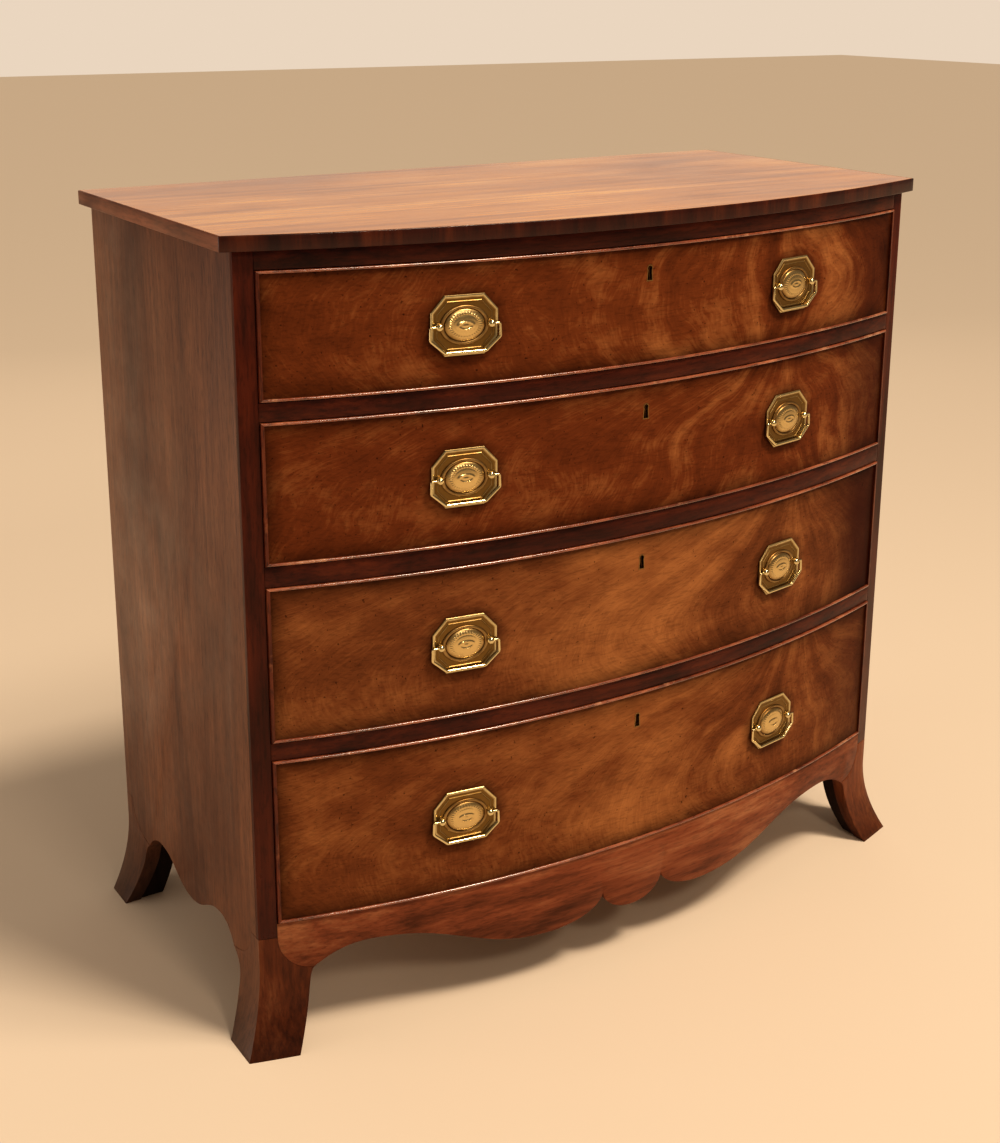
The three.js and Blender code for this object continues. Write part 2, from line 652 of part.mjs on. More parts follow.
function lockCase(drawer) {
  const back = lockBackY();
  const front = back - LOCK_DEPTH;
  const halfSlot = BOLT_THICKNESS / 2 + FIT;
  const halfBolt = BOLT_WIDTH / 2 + FIT;
  const body = box(-LOCK_WIDTH / 2, LOCK_WIDTH / 2, front, back, drawer.top - LOCK_HEIGHT, drawer.top);
  const slot = box(
    -halfBolt,
    halfBolt,
    boltY() - halfSlot,
    boltY() + halfSlot,
    drawer.top - LOCK_SLOT_DEPTH,
    drawer.top + OVERRUN,
  );
  return body.subtract(slot).subtract(keyhole(drawer, front - OVERRUN, boltY()));
}

function lockBolt(drawer) {
  const half = BOLT_THICKNESS / 2;
  const top = drawer.top - FIT;
  return box(-BOLT_WIDTH / 2, BOLT_WIDTH / 2, boltY() - half, boltY() + half, top - BOLT_LENGTH, top);
}

// Handles, in a frame of their own: x along the drawer front, y into it, z up

function handlePlace(side, drawer) {
  const x = side * HANDLE_PLACE;
  const turn = Math.asin(x / BOW_RADIUS);
  const z = (drawer.bottom + drawer.top) / 2 - drawer.handleDrop;
  return { x, y: arcY(x, 0), z, turn };
}

function atHandle(geometry, place) {
  geometry.rotateZ(place.turn);
  geometry.translate(place.x, place.y, place.z);
  return solidOf(geometry);
}

function octagon(width, height, topEdge, sideEdge, inset) {
  const x = width / 2 - inset;
  const z = height / 2 - inset;
  const cut = Math.atan2(width - topEdge, height - sideEdge);
  const topX = topEdge / 2 - inset * Math.tan((Math.PI / 2 - cut) / 2);
  const sideZ = sideEdge / 2 - inset * Math.tan(cut / 2);
  const corner = [new THREE.Vector2(topX, z), new THREE.Vector2(x, sideZ)];
  const turned = (signX, signZ) => corner.map((point) => new THREE.Vector2(signX * point.x, signZ * point.y));
  return [...turned(1, 1), ...turned(1, -1).reverse(), ...turned(-1, -1), ...turned(-1, 1).reverse()];
}

function plateOctagon(inset) {
  return octagon(PLATE_WIDTH, PLATE_HEIGHT, PLATE_TOP_EDGE, PLATE_SIDE_EDGE, inset);
}

function plateDome(seat) {
  const radius = DOME_WIDTH / 2;
  const valley = radius - DOME_RING_WIDTH;
  const profile = [
    new THREE.Vector2(0, PLATE_THICKNESS / 2),
    new THREE.Vector2(radius, PLATE_THICKNESS / 2),
    new THREE.Vector2(radius, PLATE_THICKNESS),
    new THREE.Vector2(radius - DOME_RING_WIDTH / 2, PLATE_THICKNESS + DOME_RING_RISE),
    new THREE.Vector2(valley, PLATE_THICKNESS + DOME_RING_RISE / 2),
  ];
  for (let step = 1; step <= BALL_RINGS / 2; step = step + 1) {
    const angle = (step / BALL_RINGS) * Math.PI;
    const rise = DOME_RING_RISE / 2 + (DOME_RISE - DOME_RING_RISE / 2) * Math.sin(angle);
    profile.push(new THREE.Vector2(step === BALL_RINGS / 2 ? 0 : valley * Math.cos(angle), PLATE_THICKNESS + rise));
  }
  const dome = new THREE.LatheGeometry(profile, DOME_SIDES);
  dome.scale(1, 1, DOME_HEIGHT / DOME_WIDTH);
  dome.rotateX(Math.PI);
  dome.translate(0, -seat, 0);
  return solidOf(dome);
}

// The long oval boss in the middle of the dome
function plateBoss() {
  const boss = new THREE.SphereGeometry(1, DOME_SIDES, BALL_RINGS);
  boss.rotateX(Math.PI / 2);
  boss.scale(BOSS_WIDTH / 2, 2 * BOSS_RISE, BOSS_HEIGHT / 2);
  boss.translate(0, -FIT - PLATE_THICKNESS - DOME_RISE + BOSS_RISE, 0);
  return solidOf(boss);
}

function post(side) {
  const x = (side * POST_SPACING) / 2;
  const ball = new THREE.SphereGeometry(BALL_RADIUS, ROUND_SIDES, BALL_RINGS);
  ball.translate(x, -PIVOT_STANDOFF, 0);
  const nutSeat = FRONT_THICKNESS + 2 * FIT + POST_SPACING ** 2 / (8 * BOW_RADIUS);
  const shaftLength = PIVOT_STANDOFF + nutSeat + NUT_THICKNESS;
  const shaft = new THREE.CylinderGeometry(POST_RADIUS, POST_RADIUS, shaftLength, ROUND_SIDES);
  shaft.translate(x, shaftLength / 2 - PIVOT_STANDOFF, 0);
  const nut = new THREE.CylinderGeometry(NUT_RADIUS, NUT_RADIUS, NUT_THICKNESS, NUT_SIDES);
  nut.translate(x, nutSeat + NUT_THICKNESS / 2, 0);
  const boreLength = PIN_DEPTH + FIT + OVERRUN;
  const bore = new THREE.CylinderGeometry(PIN_RADIUS + FIT, PIN_RADIUS + FIT, boreLength, ROUND_SIDES);
  bore.rotateZ(Math.PI / 2);
  bore.translate(x + side * (BALL_RADIUS - PIN_DEPTH - FIT + boreLength / 2), -PIVOT_STANDOFF, 0);
  return joined([solidOf(ball), solidOf(shaft), solidOf(nut)]).subtract(solidOf(bore));
}

// The stamped plate with its two posts, which are held by nuts behind the drawer front
function handlePlate() {
  const base = throughDepth(plateOctagon(0), -FIT - PLATE_THICKNESS, -FIT);
  const rimFace = -FIT - PLATE_THICKNESS - PLATE_RIM_HEIGHT;
  const rim = throughDepth(plateOctagon(0), rimFace, -FIT - PLATE_THICKNESS / 2);
  const field = throughDepth(plateOctagon(PLATE_RIM_WIDTH), rimFace - OVERRUN, OVERRUN);
  return joined([base, rim.subtract(field), plateDome(FIT), plateBoss(), post(-1), post(1)]);
}

// A line moved sideways by a distance, with its corners mitred
function offsetLine(points, distance) {
  return points.map((point, i) => {
    const before = points[Math.max(0, i - 1)];
    const after = points[Math.min(points.length - 1, i + 1)];
    const arriving = i > 0 ? point.clone().sub(before).normalize() : after.clone().sub(point).normalize();
    const leaving = i < points.length - 1 ? after.clone().sub(point).normalize() : arriving.clone();
    const mitre = arriving.clone().add(leaving).normalize();
    const normal = new THREE.Vector2(-mitre.y, mitre.x);
    return point.clone().addScaledVector(normal, distance / mitre.dot(arriving));
  });
}

function bail() {
  const half = BAIL_SPAN / 2;
  const middle = [
    new THREE.Vector2(-half, PIN_RADIUS),
    new THREE.Vector2(-half, -BAIL_STRAIGHT),
    new THREE.Vector2(-BAIL_GRIP / 2, -BAIL_DROP),
    new THREE.Vector2(BAIL_GRIP / 2, -BAIL_DROP),
    new THREE.Vector2(half, -BAIL_STRAIGHT),
    new THREE.Vector2(half, PIN_RADIUS),
  ];
  const reach = BAIL_WIDTH / 2 - BAIL_BEVEL;
  const outline = [...offsetLine(middle, reach), ...offsetLine(middle, -reach).reverse()];
  const strip = new THREE.ExtrudeGeometry(new THREE.Shape(outline), {
    depth: BAIL_THICKNESS - 2 * BAIL_BEVEL,
    bevelThickness: BAIL_BEVEL,
    bevelSize: BAIL_BEVEL,
    bevelSegments: 1,
  });
  strip.rotateX(Math.PI / 2);
  strip.translate(0, -PIVOT_STANDOFF + BAIL_THICKNESS / 2 - BAIL_BEVEL, 0);
  const pinEnd = POST_SPACING / 2 + BALL_RADIUS - PIN_DEPTH;
  const pins = [-1, 1].map((side) => {
    const pin = new THREE.CylinderGeometry(PIN_RADIUS, PIN_RADIUS, half - pinEnd, ROUND_SIDES);
    pin.rotateZ(Math.PI / 2);
    pin.translate((side * (half + pinEnd)) / 2, -PIVOT_STANDOFF, 0);
    return solidOf(pin);
  });
  return joined([solidOf(strip), ...pins]);
}

// Drawers

// Tails of one drawer side, seen from the side, each a wedge that is wider at the front
function dovetails(drawer, clearance) {
  const height = drawer.height - DRAWER_SIDE_DROP;
  const count = Math.max(2, Math.round(height / DOVETAIL_PITCH));
  const pitch = height / count;
  const frontY = dovetailFrontY() - clearance;
  const backY = arcY(FRONT_HALF_WIDTH, FRONT_THICKNESS) + OVERRUN;
  const tails = [];
  for (let i = 0; i < count; i = i + 1) {
    const middle = drawer.bottom + (i + 0.5) * pitch;
    const wide = (pitch - DOVETAIL_PIN) / 2 + DOVETAIL_FLARE + clearance;
    const narrow = (pitch - DOVETAIL_PIN) / 2 + clearance;
    tails.push([
      new THREE.Vector2(frontY, middle - wide),
      new THREE.Vector2(backY, middle - narrow),
      new THREE.Vector2(backY, middle + narrow),
      new THREE.Vector2(frontY, middle + wide),
    ]);
  }
  return tails;
}

function dovetailFrontY() {
  return arcY(FRONT_HALF_WIDTH, 0) + DOVETAIL_LAP;
}

function dovetailSolid(drawer, side, clearance, far) {
  const near = side * (DRAWER_INNER_HALF_WIDTH - clearance);
  const end = side * far;
  const tails = dovetails(drawer, clearance);
  return joined(tails.map((tail) => throughWidth(tail, Math.min(near, end), Math.max(near, end))));
}

function beadFrame(drawer) {
  const reach = FRONT_HALF_WIDTH - BEAD_WIDTH;
  const outer = bentBoard(-FRONT_HALF_WIDTH, FRONT_HALF_WIDTH, -BEAD_PROUD, BEAD_SEAT, drawer.bottom, drawer.top);
  const field = bentBoard(
    -reach,
    reach,
    -BEAD_PROUD - OVERRUN,
    BEAD_SEAT + OVERRUN,
    drawer.bottom + BEAD_WIDTH,
    drawer.top - BEAD_WIDTH,
  );
  return outer.subtract(field);
}

function postHoles(drawer) {
  const holes = [];
  for (const side of [-1, 1]) {
    const place = handlePlace(side, drawer);
    for (const end of [-1, 1]) {
      const length = FRONT_THICKNESS + 2 * OVERRUN;
      const hole = new THREE.CylinderGeometry(POST_RADIUS + FIT, POST_RADIUS + FIT, length, ROUND_SIDES);
      hole.translate((end * POST_SPACING) / 2, FRONT_THICKNESS / 2, 0);
      holes.push(atHandle(hole, place));
    }
  }
  return joined(holes);
}

function drawerFront(drawer) {
  const board = bentBoard(-FRONT_HALF_WIDTH, FRONT_HALF_WIDTH, 0, FRONT_THICKNESS, drawer.bottom, drawer.top);
  const groove = bentBoard(
    -DRAWER_INNER_HALF_WIDTH,
    DRAWER_INNER_HALF_WIDTH,
    FRONT_THICKNESS - DRAWER_BOTTOM_TONGUE,
    FRONT_THICKNESS + OVERRUN,
    drawer.bottom + DRAWER_BOTTOM_RISE - FIT,
    drawer.bottom + DRAWER_BOTTOM_RISE + DRAWER_BOTTOM_THICKNESS + FIT,
  );
  const lockRecess = box(
    -LOCK_WIDTH / 2 - FIT,
    LOCK_WIDTH / 2 + FIT,
    lockBackY() - LOCK_DEPTH - FIT,
    lockBackY() + OVERRUN,
    drawer.top - LOCK_HEIGHT - FIT,
    drawer.top + OVERRUN,
  );
  const farEnd = FRONT_HALF_WIDTH + OVERRUN;
  const cuts = [
    groove,
    lockRecess,
    keyhole(drawer, arcY(0, -BEAD_PROUD) - OVERRUN, lockBackY()),
    postHoles(drawer),
    dovetailSolid(drawer, -1, FIT, farEnd),
    dovetailSolid(drawer, 1, FIT, farEnd),
  ];
  return board.add(beadFrame(drawer)).subtract(joined(cuts));
}

function drawerSide(drawer, side) {
  const top = drawer.top - DRAWER_SIDE_DROP;
  const low = drawer.floor + FIT;
  const near = side * DRAWER_INNER_HALF_WIDTH;
  const far = side * FRONT_HALF_WIDTH;
  const x0 = Math.min(near, far);
  const x1 = Math.max(near, far);
  const board = bowedBoard(x0, x1, FRONT_THICKNESS + FIT, DRAWER_REAR_Y, low, top);
  const tails = dovetailSolid(drawer, side, 0, FRONT_HALF_WIDTH);
  const groove = sideBox(
    side,
    DRAWER_INNER_HALF_WIDTH - OVERRUN,
    DRAWER_INNER_HALF_WIDTH + DRAWER_BOTTOM_TONGUE,
    arcY(DRAWER_INNER_HALF_WIDTH, FRONT_THICKNESS),
    DRAWER_REAR_Y + OVERRUN,
    drawer.bottom + DRAWER_BOTTOM_RISE - FIT,
    drawer.bottom + DRAWER_BOTTOM_RISE + DRAWER_BOTTOM_THICKNESS + FIT,
  );
  return board.add(tails).subtract(groove);
}

function drawerBack(drawer) {
  const reach = DRAWER_INNER_HALF_WIDTH - FIT;
  const low = drawer.bottom + DRAWER_BOTTOM_RISE + DRAWER_BOTTOM_THICKNESS + FIT;
  const front = DRAWER_REAR_Y - DRAWER_BACK_THICKNESS;
  return box(-reach, reach, front, DRAWER_REAR_Y, low, drawer.top - DRAWER_BACK_DROP);
}

function drawerBottom(drawer) {
  const z0 = drawer.bottom + DRAWER_BOTTOM_RISE;
  const z1 = z0 + DRAWER_BOTTOM_THICKNESS;
  const between = DRAWER_INNER_HALF_WIDTH - FIT;
  const grooved = DRAWER_INNER_HALF_WIDTH + DRAWER_BOTTOM_TONGUE - FIT;
  const shoulder = arcY(DRAWER_INNER_HALF_WIDTH, FRONT_THICKNESS) + OVERRUN;
  const panel = bowedBoard(
    -between,
    between,
    FRONT_THICKNESS - DRAWER_BOTTOM_TONGUE + FIT,
    DRAWER_REAR_Y,
    z0,
    z1,
  );
  return panel.add(box(-grooved, grooved, shoulder, DRAWER_REAR_Y, z0, z1));
}

// Assembly

function named(name, solid, finish) {
  const mesh = new THREE.Mesh(geometryOf(solid), new THREE.MeshStandardMaterial(finish));
  mesh.name = name;
  return mesh;
}

function carcassGroup() {
  const group = new THREE.Group();
  group.add(named('top', topBoard(), WOODS.top));
  group.add(named('back_panel', backPanel(), WOODS.lining));
  group.add(named('bottom_board', bottomBoard(), WOODS.lining));
  group.add(named('apron', apron(), WOODS.foot));
  group.add(named('top_rail', topRail(), WOODS.rail));
  for (const [suffix, side] of [['left', -1], ['right', 1]]) {
    group.add(named(`side_${suffix}`, sideBoard(side), WOODS.side));
    group.add(named(`stile_${suffix}`, stile(side), WOODS.rail));
    group.add(named(`front_foot_${suffix}`, frontFoot(side), WOODS.foot));
    group.add(named(`rear_foot_${suffix}`, rearFoot(side), WOODS.foot));
  }
  for (const [name, drawer] of [['divider_3', DRAWERS[0]], ['divider_2', DRAWERS[1]], ['divider_1', DRAWERS[2]]]) {
    group.add(named(name, divider(drawer), WOODS.rail));
  }
  return group;
}

function handleGroup(drawer, suffix, side) {
  const group = new THREE.Group();
  const place = handlePlace(side, drawer);
  group.add(named(`${drawer.name}_handle_plate_${suffix}`, handlePlate(), BRASS));
  group.add(named(`${drawer.name}_bail_${suffix}`, bail(), BRASS));
  group.position.set(place.x, place.y, place.z);
  group.rotation.z = place.turn;
  return group;
}

function drawerGroup(drawer) {
  const group = new THREE.Group();
  group.add(named(`${drawer.name}_front`, drawerFront(drawer), WOODS.front));
  group.add(named(`${drawer.name}_back`, drawerBack(drawer), WOODS.lining));
  group.add(named(`${drawer.name}_bottom`, drawerBottom(drawer), WOODS.lining));
  group.add(named(`${drawer.name}_lock`, lockCase(drawer), IRON));
  group.add(named(`${drawer.name}_lock_bolt`, lockBolt(drawer), BRASS));
  for (const [suffix, side] of [['left', -1], ['right', 1]]) {
    group.add(named(`${drawer.name}_side_${suffix}`, drawerSide(drawer, side), WOODS.lining));
    group.add(handleGroup(drawer, suffix, side));
  }
  return group;
}

const chest = new THREE.Group();
chest.add(carcassGroup());
for (const drawer of DRAWERS) {
  chest.add(drawerGroup(drawer));
}

export default chest;
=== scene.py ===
"""Looks of a bow front chest of drawers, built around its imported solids.

Metres. +Z is up, the bowed front faces -Y and +X is to the right seen from the front.
"""

import logging
import math
from collections.abc import Callable, Iterator, Sequence
from contextlib import contextmanager
from dataclasses import dataclass, field, replace
from enum import Enum
from functools import partial

import bmesh
import bpy
from mathutils import Matrix, Vector


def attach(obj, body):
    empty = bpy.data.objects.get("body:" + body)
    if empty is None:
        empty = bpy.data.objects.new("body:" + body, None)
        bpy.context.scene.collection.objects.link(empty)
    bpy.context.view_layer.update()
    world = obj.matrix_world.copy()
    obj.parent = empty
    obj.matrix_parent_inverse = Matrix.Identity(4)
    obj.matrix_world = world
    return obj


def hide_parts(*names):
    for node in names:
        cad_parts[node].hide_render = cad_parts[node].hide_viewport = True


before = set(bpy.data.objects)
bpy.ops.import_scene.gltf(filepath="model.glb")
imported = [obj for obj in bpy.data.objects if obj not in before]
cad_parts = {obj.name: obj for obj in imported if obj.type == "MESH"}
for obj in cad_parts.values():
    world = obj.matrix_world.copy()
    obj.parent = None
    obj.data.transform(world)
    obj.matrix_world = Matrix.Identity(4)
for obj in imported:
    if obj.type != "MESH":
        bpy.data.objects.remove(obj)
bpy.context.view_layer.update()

LOG = logging.getLogger("chest")
Point = tuple[float, float]
Place = tuple[float, float, float]
Piece = bpy.types.Object
Socket = bpy.types.NodeSocket
Input = Socket | float | Sequence[float]
Adder = Callable[..., Socket]
PHOTO_WIDTH = 1000
PHOTO_HEIGHT = 1143
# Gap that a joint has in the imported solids.
FIT = 0.0003
# How far a cutting tool reaches past what it cuts.
OVER = 0.005
# Angles above which an edge is an arris: on square, on curved and on bent work.
SQUARE, CURVED, BENT = 40, 50, 60


# ---------------------------------------------------------------- bench work


class Side(Enum):
    """Left or right of the chest, seen from the front."""

    LEFT = -1
    RIGHT = 1

    @property
    def word(self) -> str:
        """The side as it stands in a piece's name."""
        return self.name.lower()


class Facing(Enum):
    """The plane that an outline is drawn in."""

    FRONT = "front"
    SIDE = "side"
    PLAN = "plan"

    def at(self, u: float, v: float, depth: float) -> Vector:
        """Places a point of an outline.

        Args:
            u: First coordinate: x, or y on a side view.
            v: Second coordinate: z, or y on a plan.
            depth: Place along the normal of the plane.

        Returns:
            The point in the chest's frame.
        """
        if self is Facing.FRONT:
            return Vector((u, depth, v))
        if self is Facing.SIDE:
            return Vector((depth, u, v))
        return Vector((u, v, depth))


def clear_bench() -> None:
    """Deselects everything."""
    bpy.ops.object.select_all(action="DESELECT")


def take(piece: Piece) -> None:
    """Selects one piece alone and makes it the active one.

    Args:
        piece: The piece to work on.
    """
    clear_bench()
    piece.select_set(True)
    bpy.context.view_layer.objects.active = piece


@contextmanager
def editing(piece: Piece, kind: str = "FACE", chosen: str = "DESELECT") -> Iterator[None]:
    """Opens a piece in edit mode, and closes it again.

    Args:
        piece: The piece to edit.
        kind: What is selected: VERT, EDGE or FACE.
        chosen: SELECT to begin with everything, or DESELECT to begin with nothing.

    Yields:
        Nothing.
    """
    take(piece)
    bpy.ops.object.mode_set(mode="EDIT")
    bpy.ops.mesh.select_mode(type=kind)
    bpy.ops.mesh.select_all(action=chosen)
    yield
    bpy.ops.object.mode_set(mode="OBJECT")


def pick(piece: Piece, kind: str, test: Callable[[Vector], bool]) -> None:
    """Selects the vertices or faces that a test accepts.

    Args:
        piece: The piece that is open in edit mode.
        kind: verts or faces.
        test: Takes a vertex's place or a face's normal.
    """
    mesh = bmesh.from_edit_mesh(piece.data)
    for part in getattr(mesh, kind):
        if test(part.normal if kind == "faces" else part.co):
            part.select_set(True)
    mesh.select_flush(True)
    bmesh.update_edit_mesh(piece.data)


def freeze(piece: Piece) -> Piece:
    """Moves an object's place, turn and scale into its mesh.

    Args:
        piece: The object.

    Returns:
        The same object, which now sits at the origin.
    """
    take(piece)
    bpy.ops.object.transform_apply(location=True, rotation=True, scale=True)
    return piece


def face_outwards(piece: Piece, merge: float = 0.00001) -> None:
    """Merges doubled vertices, then turns all faces outwards.

    Args:
        piece: The piece.
        merge: Distance below which two vertices become one.
    """
    with editing(piece, chosen="SELECT"):
        bpy.ops.mesh.remove_doubles(threshold=merge)
        bpy.ops.mesh.normals_make_consistent(inside=False)


def smooth(piece: Piece, degrees: float = 32) -> None:
    """Shades a piece smooth, with its real edges kept.

    Args:
        piece: The piece.
        degrees: Angle above which an edge stays sharp.
    """
    take(piece)
    bpy.ops.object.shade_smooth_by_angle(angle=math.radians(degrees))


def soften(piece: Piece, width: float, degrees: float = SQUARE, segments: int = 2) -> None:
    """Takes the sharpness off a piece's arrises with a small bevel.

    Args:
        piece: The piece.
        width: Width of the bevel.
        degrees: Angle above which an edge is bevelled.
        segments: Steps across the bevel.
    """
    bevel = piece.modifiers.new("arris", "BEVEL")
    bevel.width = width
    bevel.segments = segments
    bevel.limit_method = "ANGLE"
    bevel.angle_limit = math.radians(degrees)
    bevel.use_clamp_overlap = True
    take(piece)
    bpy.ops.object.modifier_apply(modifier=bevel.name)
    smooth(piece)


def combine(piece: Piece, tool: Piece, how: str) -> None:
    """Cuts, joins or trims a piece with a tool, which is used up.

    Args:
        piece: The piece.
        tool: The closed shape to work with.
        how: DIFFERENCE, UNION or INTERSECT.
    """
    boolean = piece.modifiers.new("work", "BOOLEAN")
    boolean.operation = how
    boolean.object = tool
    boolean.solver = "EXACT"
    take(piece)
    bpy.ops.object.modifier_apply(modifier=boolean.name)
    bpy.data.objects.remove(tool)


def saw(piece: Piece, at: Place, away: Place) -> None:
    """Saws a piece through and closes the cut.

    Args:
        piece: The piece.
        at: A point of the cut.
        away: Direction of the part that falls off.
    """
    with editing(piece, chosen="SELECT"):
        bpy.ops.mesh.bisect(plane_co=at, plane_no=away, use_fill=True, clear_outer=True)


def block(name: str, low: Place, high: Place) -> Piece:
    """Makes a rectangular block between two corners.

    Args:
        name: The piece's name.
        low: Its lowest corner.
        high: Its highest corner.

    Returns:
        The block.
    """
    clear_bench()
    bpy.ops.mesh.primitive_cube_add(size=1)
    piece = bpy.context.object
    piece.name = name
    piece.location = (Vector(low) + Vector(high)) / 2
    piece.scale = Vector(high) - Vector(low)
    return freeze(piece)


def outline_of(name: str, points: Sequence[Place], filled: bool = True) -> Piece:
    """Shapes a circle primitive into an outline with the given corners.

    Args:
        name: The piece's name.
        points: The corners, in order.
        filled: Whether the outline gets a face.

    Returns:
        The outline, flat and without thickness.
    """
    clear_bench()
    bpy.ops.mesh.primitive_circle_add(vertices=len(points), fill_type="NGON" if filled else "NOTHING")
    piece = bpy.context.object
    piece.name = name
    for vertex, point in zip(piece.data.vertices, points):
        vertex.co = point
    piece.data.update()
    return piece


def prism(name: str, points: Sequence[Point], facing: Facing, near: float, far: float) -> Piece:
    """Extrudes an outline from one depth to another.

    Args:
        name: The piece's name.
        points: Corners of the outline.
        facing: The plane that it is drawn in.
        near: Depth of its first face.
        far: Depth of its last face.

    Returns:
        A closed solid.
    """
    piece = outline_of(name, [tuple(facing.at(u, v, near)) for u, v in points])
    push = tuple(facing.at(0, 0, far - near))
    with editing(piece, chosen="SELECT"):
        bpy.ops.mesh.extrude_region_move(TRANSFORM_OT_translate={"value": push})
    face_outwards(piece)
    return piece


def turned(name: str, profile: Sequence[Point], steps: int = 32) -> Piece:
    """Turns a profile round the Y axis, as on a lathe.

    Args:
        name: The piece's name.
        profile: Radius and place along Y, from one end on the axis to the other.
        steps: Facets round the piece.

    Returns:
        A closed solid of revolution.
    """
    piece = outline_of(name, [(radius, along, 0) for radius, along in profile], filled=False)
    with editing(piece, "EDGE"):
        mesh = bmesh.from_edit_mesh(piece.data)
        mesh.verts.ensure_lookup_table()
        on_the_axis = mesh.edges.get((mesh.verts[len(profile) - 1], mesh.verts[0]))
        mesh.edges.remove(on_the_axis)
        bmesh.update_edit_mesh(piece.data)
        bpy.ops.mesh.select_all(action="SELECT")
        bpy.ops.mesh.spin(steps=steps, angle=2 * math.pi, center=(0, 0, 0), axis=(0, 1, 0))
    face_outwards(piece)
    return piece


def rub(piece: Piece, hollow: float, raised: float) -> None:
    """Notes how high every point stands, for the brass's tarnish, polish and painted cavity shade.

    Args:
        piece: The piece.
        hollow: Place along Y that stays dark with tarnish and painted cavity shade.
        raised: Place along Y that is polished bright by handling.
    """
    note = piece.data.attributes.new("height", "FLOAT", "POINT")
    for vertex in piece.data.vertices:
        share = (vertex.co.y - hollow) / (raised - hollow)
        note.data[vertex.index].value = min(1.0, max(0.0, share))


def add_object(name: str, data: bpy.types.ID) -> Piece:
    """Puts an object that shows the given data into the scene."""
    made = bpy.data.objects.new(name, data)
    bpy.context.scene.collection.objects.link(made)
    return made


def copy_of(piece: Piece, name: str, move: Matrix) -> Piece:
    """Copies a piece, with a mesh of its own, to another place.

    Args:
        piece: The piece to copy.
        name: The copy's name.
        move: Where the copy goes.

    Returns:
        The copy.
    """
    twin = piece.copy()
    twin.data = piece.data.copy()
    twin.name = name
    bpy.context.scene.collection.objects.link(twin)
    twin.matrix_world = move
    freeze(twin)
    if move.determinant() < 0:
        face_outwards(twin)
    return twin


def joined(name: str, pieces: Sequence[Piece]) -> Piece:
    """Joins several shapes into one object.

    Args:
        name: Its name.
        pieces: The shapes.

    Returns:
        The object that holds them all.
    """
    take(pieces[0])
    for piece in pieces[1:]:
        piece.select_set(True)
    bpy.ops.object.join()
    whole = bpy.context.object
    whole.name = name
    return whole


@dataclass
class Outline:
    """A drawn line of corners, curves and arcs."""

    points: list[Point] = field(default_factory=list)
    steps: int = 16

    def to(self, *corners: Point) -> "Outline":
        """Adds straight lines to the given corners."""
        self.points.extend(corners)
        return self

    def ellipse(self, centre: Point, reach: Point, start: float, end: float) -> "Outline":
        """Adds an arc of an ellipse.

        Args:
            centre: Its centre.
            reach: Its two half axes.
            start: First angle, in quarter turns.
            end: Last angle, in quarter turns.

        Returns:
            The same outline.
        """
        for step in range(self.steps + 1):
            angle = (start + (end - start) * step / self.steps) * math.pi / 2
            u, v = reach[0] * math.cos(angle), reach[1] * math.sin(angle)
            self.points.append((centre[0] + u, centre[1] + v))
        return self

    def curve(self, *controls: Point) -> "Outline":
        """Adds a Bezier curve from the last point.

        Args:
            controls: Its other control points, the last of them its end.

        Returns:
            The same outline.
        """
        pins = [Vector(self.points[-1]), *(Vector(control) for control in controls)]
        degree = len(pins) - 1
        for step in range(1, self.steps + 1):
            share = step / self.steps
            spot = Vector((0, 0))
            for i, pin in enumerate(pins):
                spot += math.comb(degree, i) * share**i * (1 - share) ** (degree - i) * pin
            self.points.append((spot.x, spot.y))
        return self

    def clean(self, least: float = 0.0001) -> list[Point]:
        """The points, without those that fall together.

        Args:
            least: Distance below which two neighbours count as one.

        Returns:
            The corners of a closed outline.
        """
        kept: list[Point] = []
        for point in self.points:
            if not kept or math.dist(point, kept[-1]) > least:
                kept.append(point)
        if math.dist(kept[0], kept[-1]) <= least:
            kept.pop()
        return kept


# ---------------------------------------------------------------- finishes


# The sRGB curve: straight below its knee, a power above it.
SRGB_KNEE, SRGB_SLOPE, SRGB_OFFSET, SRGB_GAMMA = 0.04045, 12.92, 0.055, 2.4
# Settings of the nodes that blend smoothly, mix two colours and darken one by another.
EASED = {"interpolation_type": "SMOOTHSTEP"}
MIXED = {"out": 2, "data_type": "RGBA"}
MULTIPLIED = {**MIXED, "blend_type": "MULTIPLY"}


def shade(colour: str) -> tuple[float, float, float, float]:
    """Turns an sRGB hex colour into linear light.

    Args:
        colour: Six hex digits after a #.

    Returns:
        Red, green, blue and full alpha.
    """
    parts = [int(colour[i : i + 2], 16) / 255 for i in (1, 3, 5)]
    curved = [((part + SRGB_OFFSET) / (1 + SRGB_OFFSET)) ** SRGB_GAMMA for part in parts]
    linear = [part / SRGB_SLOPE if part <= SRGB_KNEE else bent for part, bent in zip(parts, curved)]
    return (*linear, 1.0)


def feed(node: bpy.types.Node, inputs: dict[str | int, Input] | Sequence[Input]) -> None:
    """Sets or links a node's inputs.

    Args:
        node: The node.
        inputs: Values, or sockets to link from, by name or number, or one after the other.
    """
    for key, value in inputs.items() if isinstance(inputs, dict) else enumerate(inputs):
        if isinstance(value, Socket):
            node.id_data.links.new(value, node.inputs[key])
        else:
            node.inputs[key].default_value = value


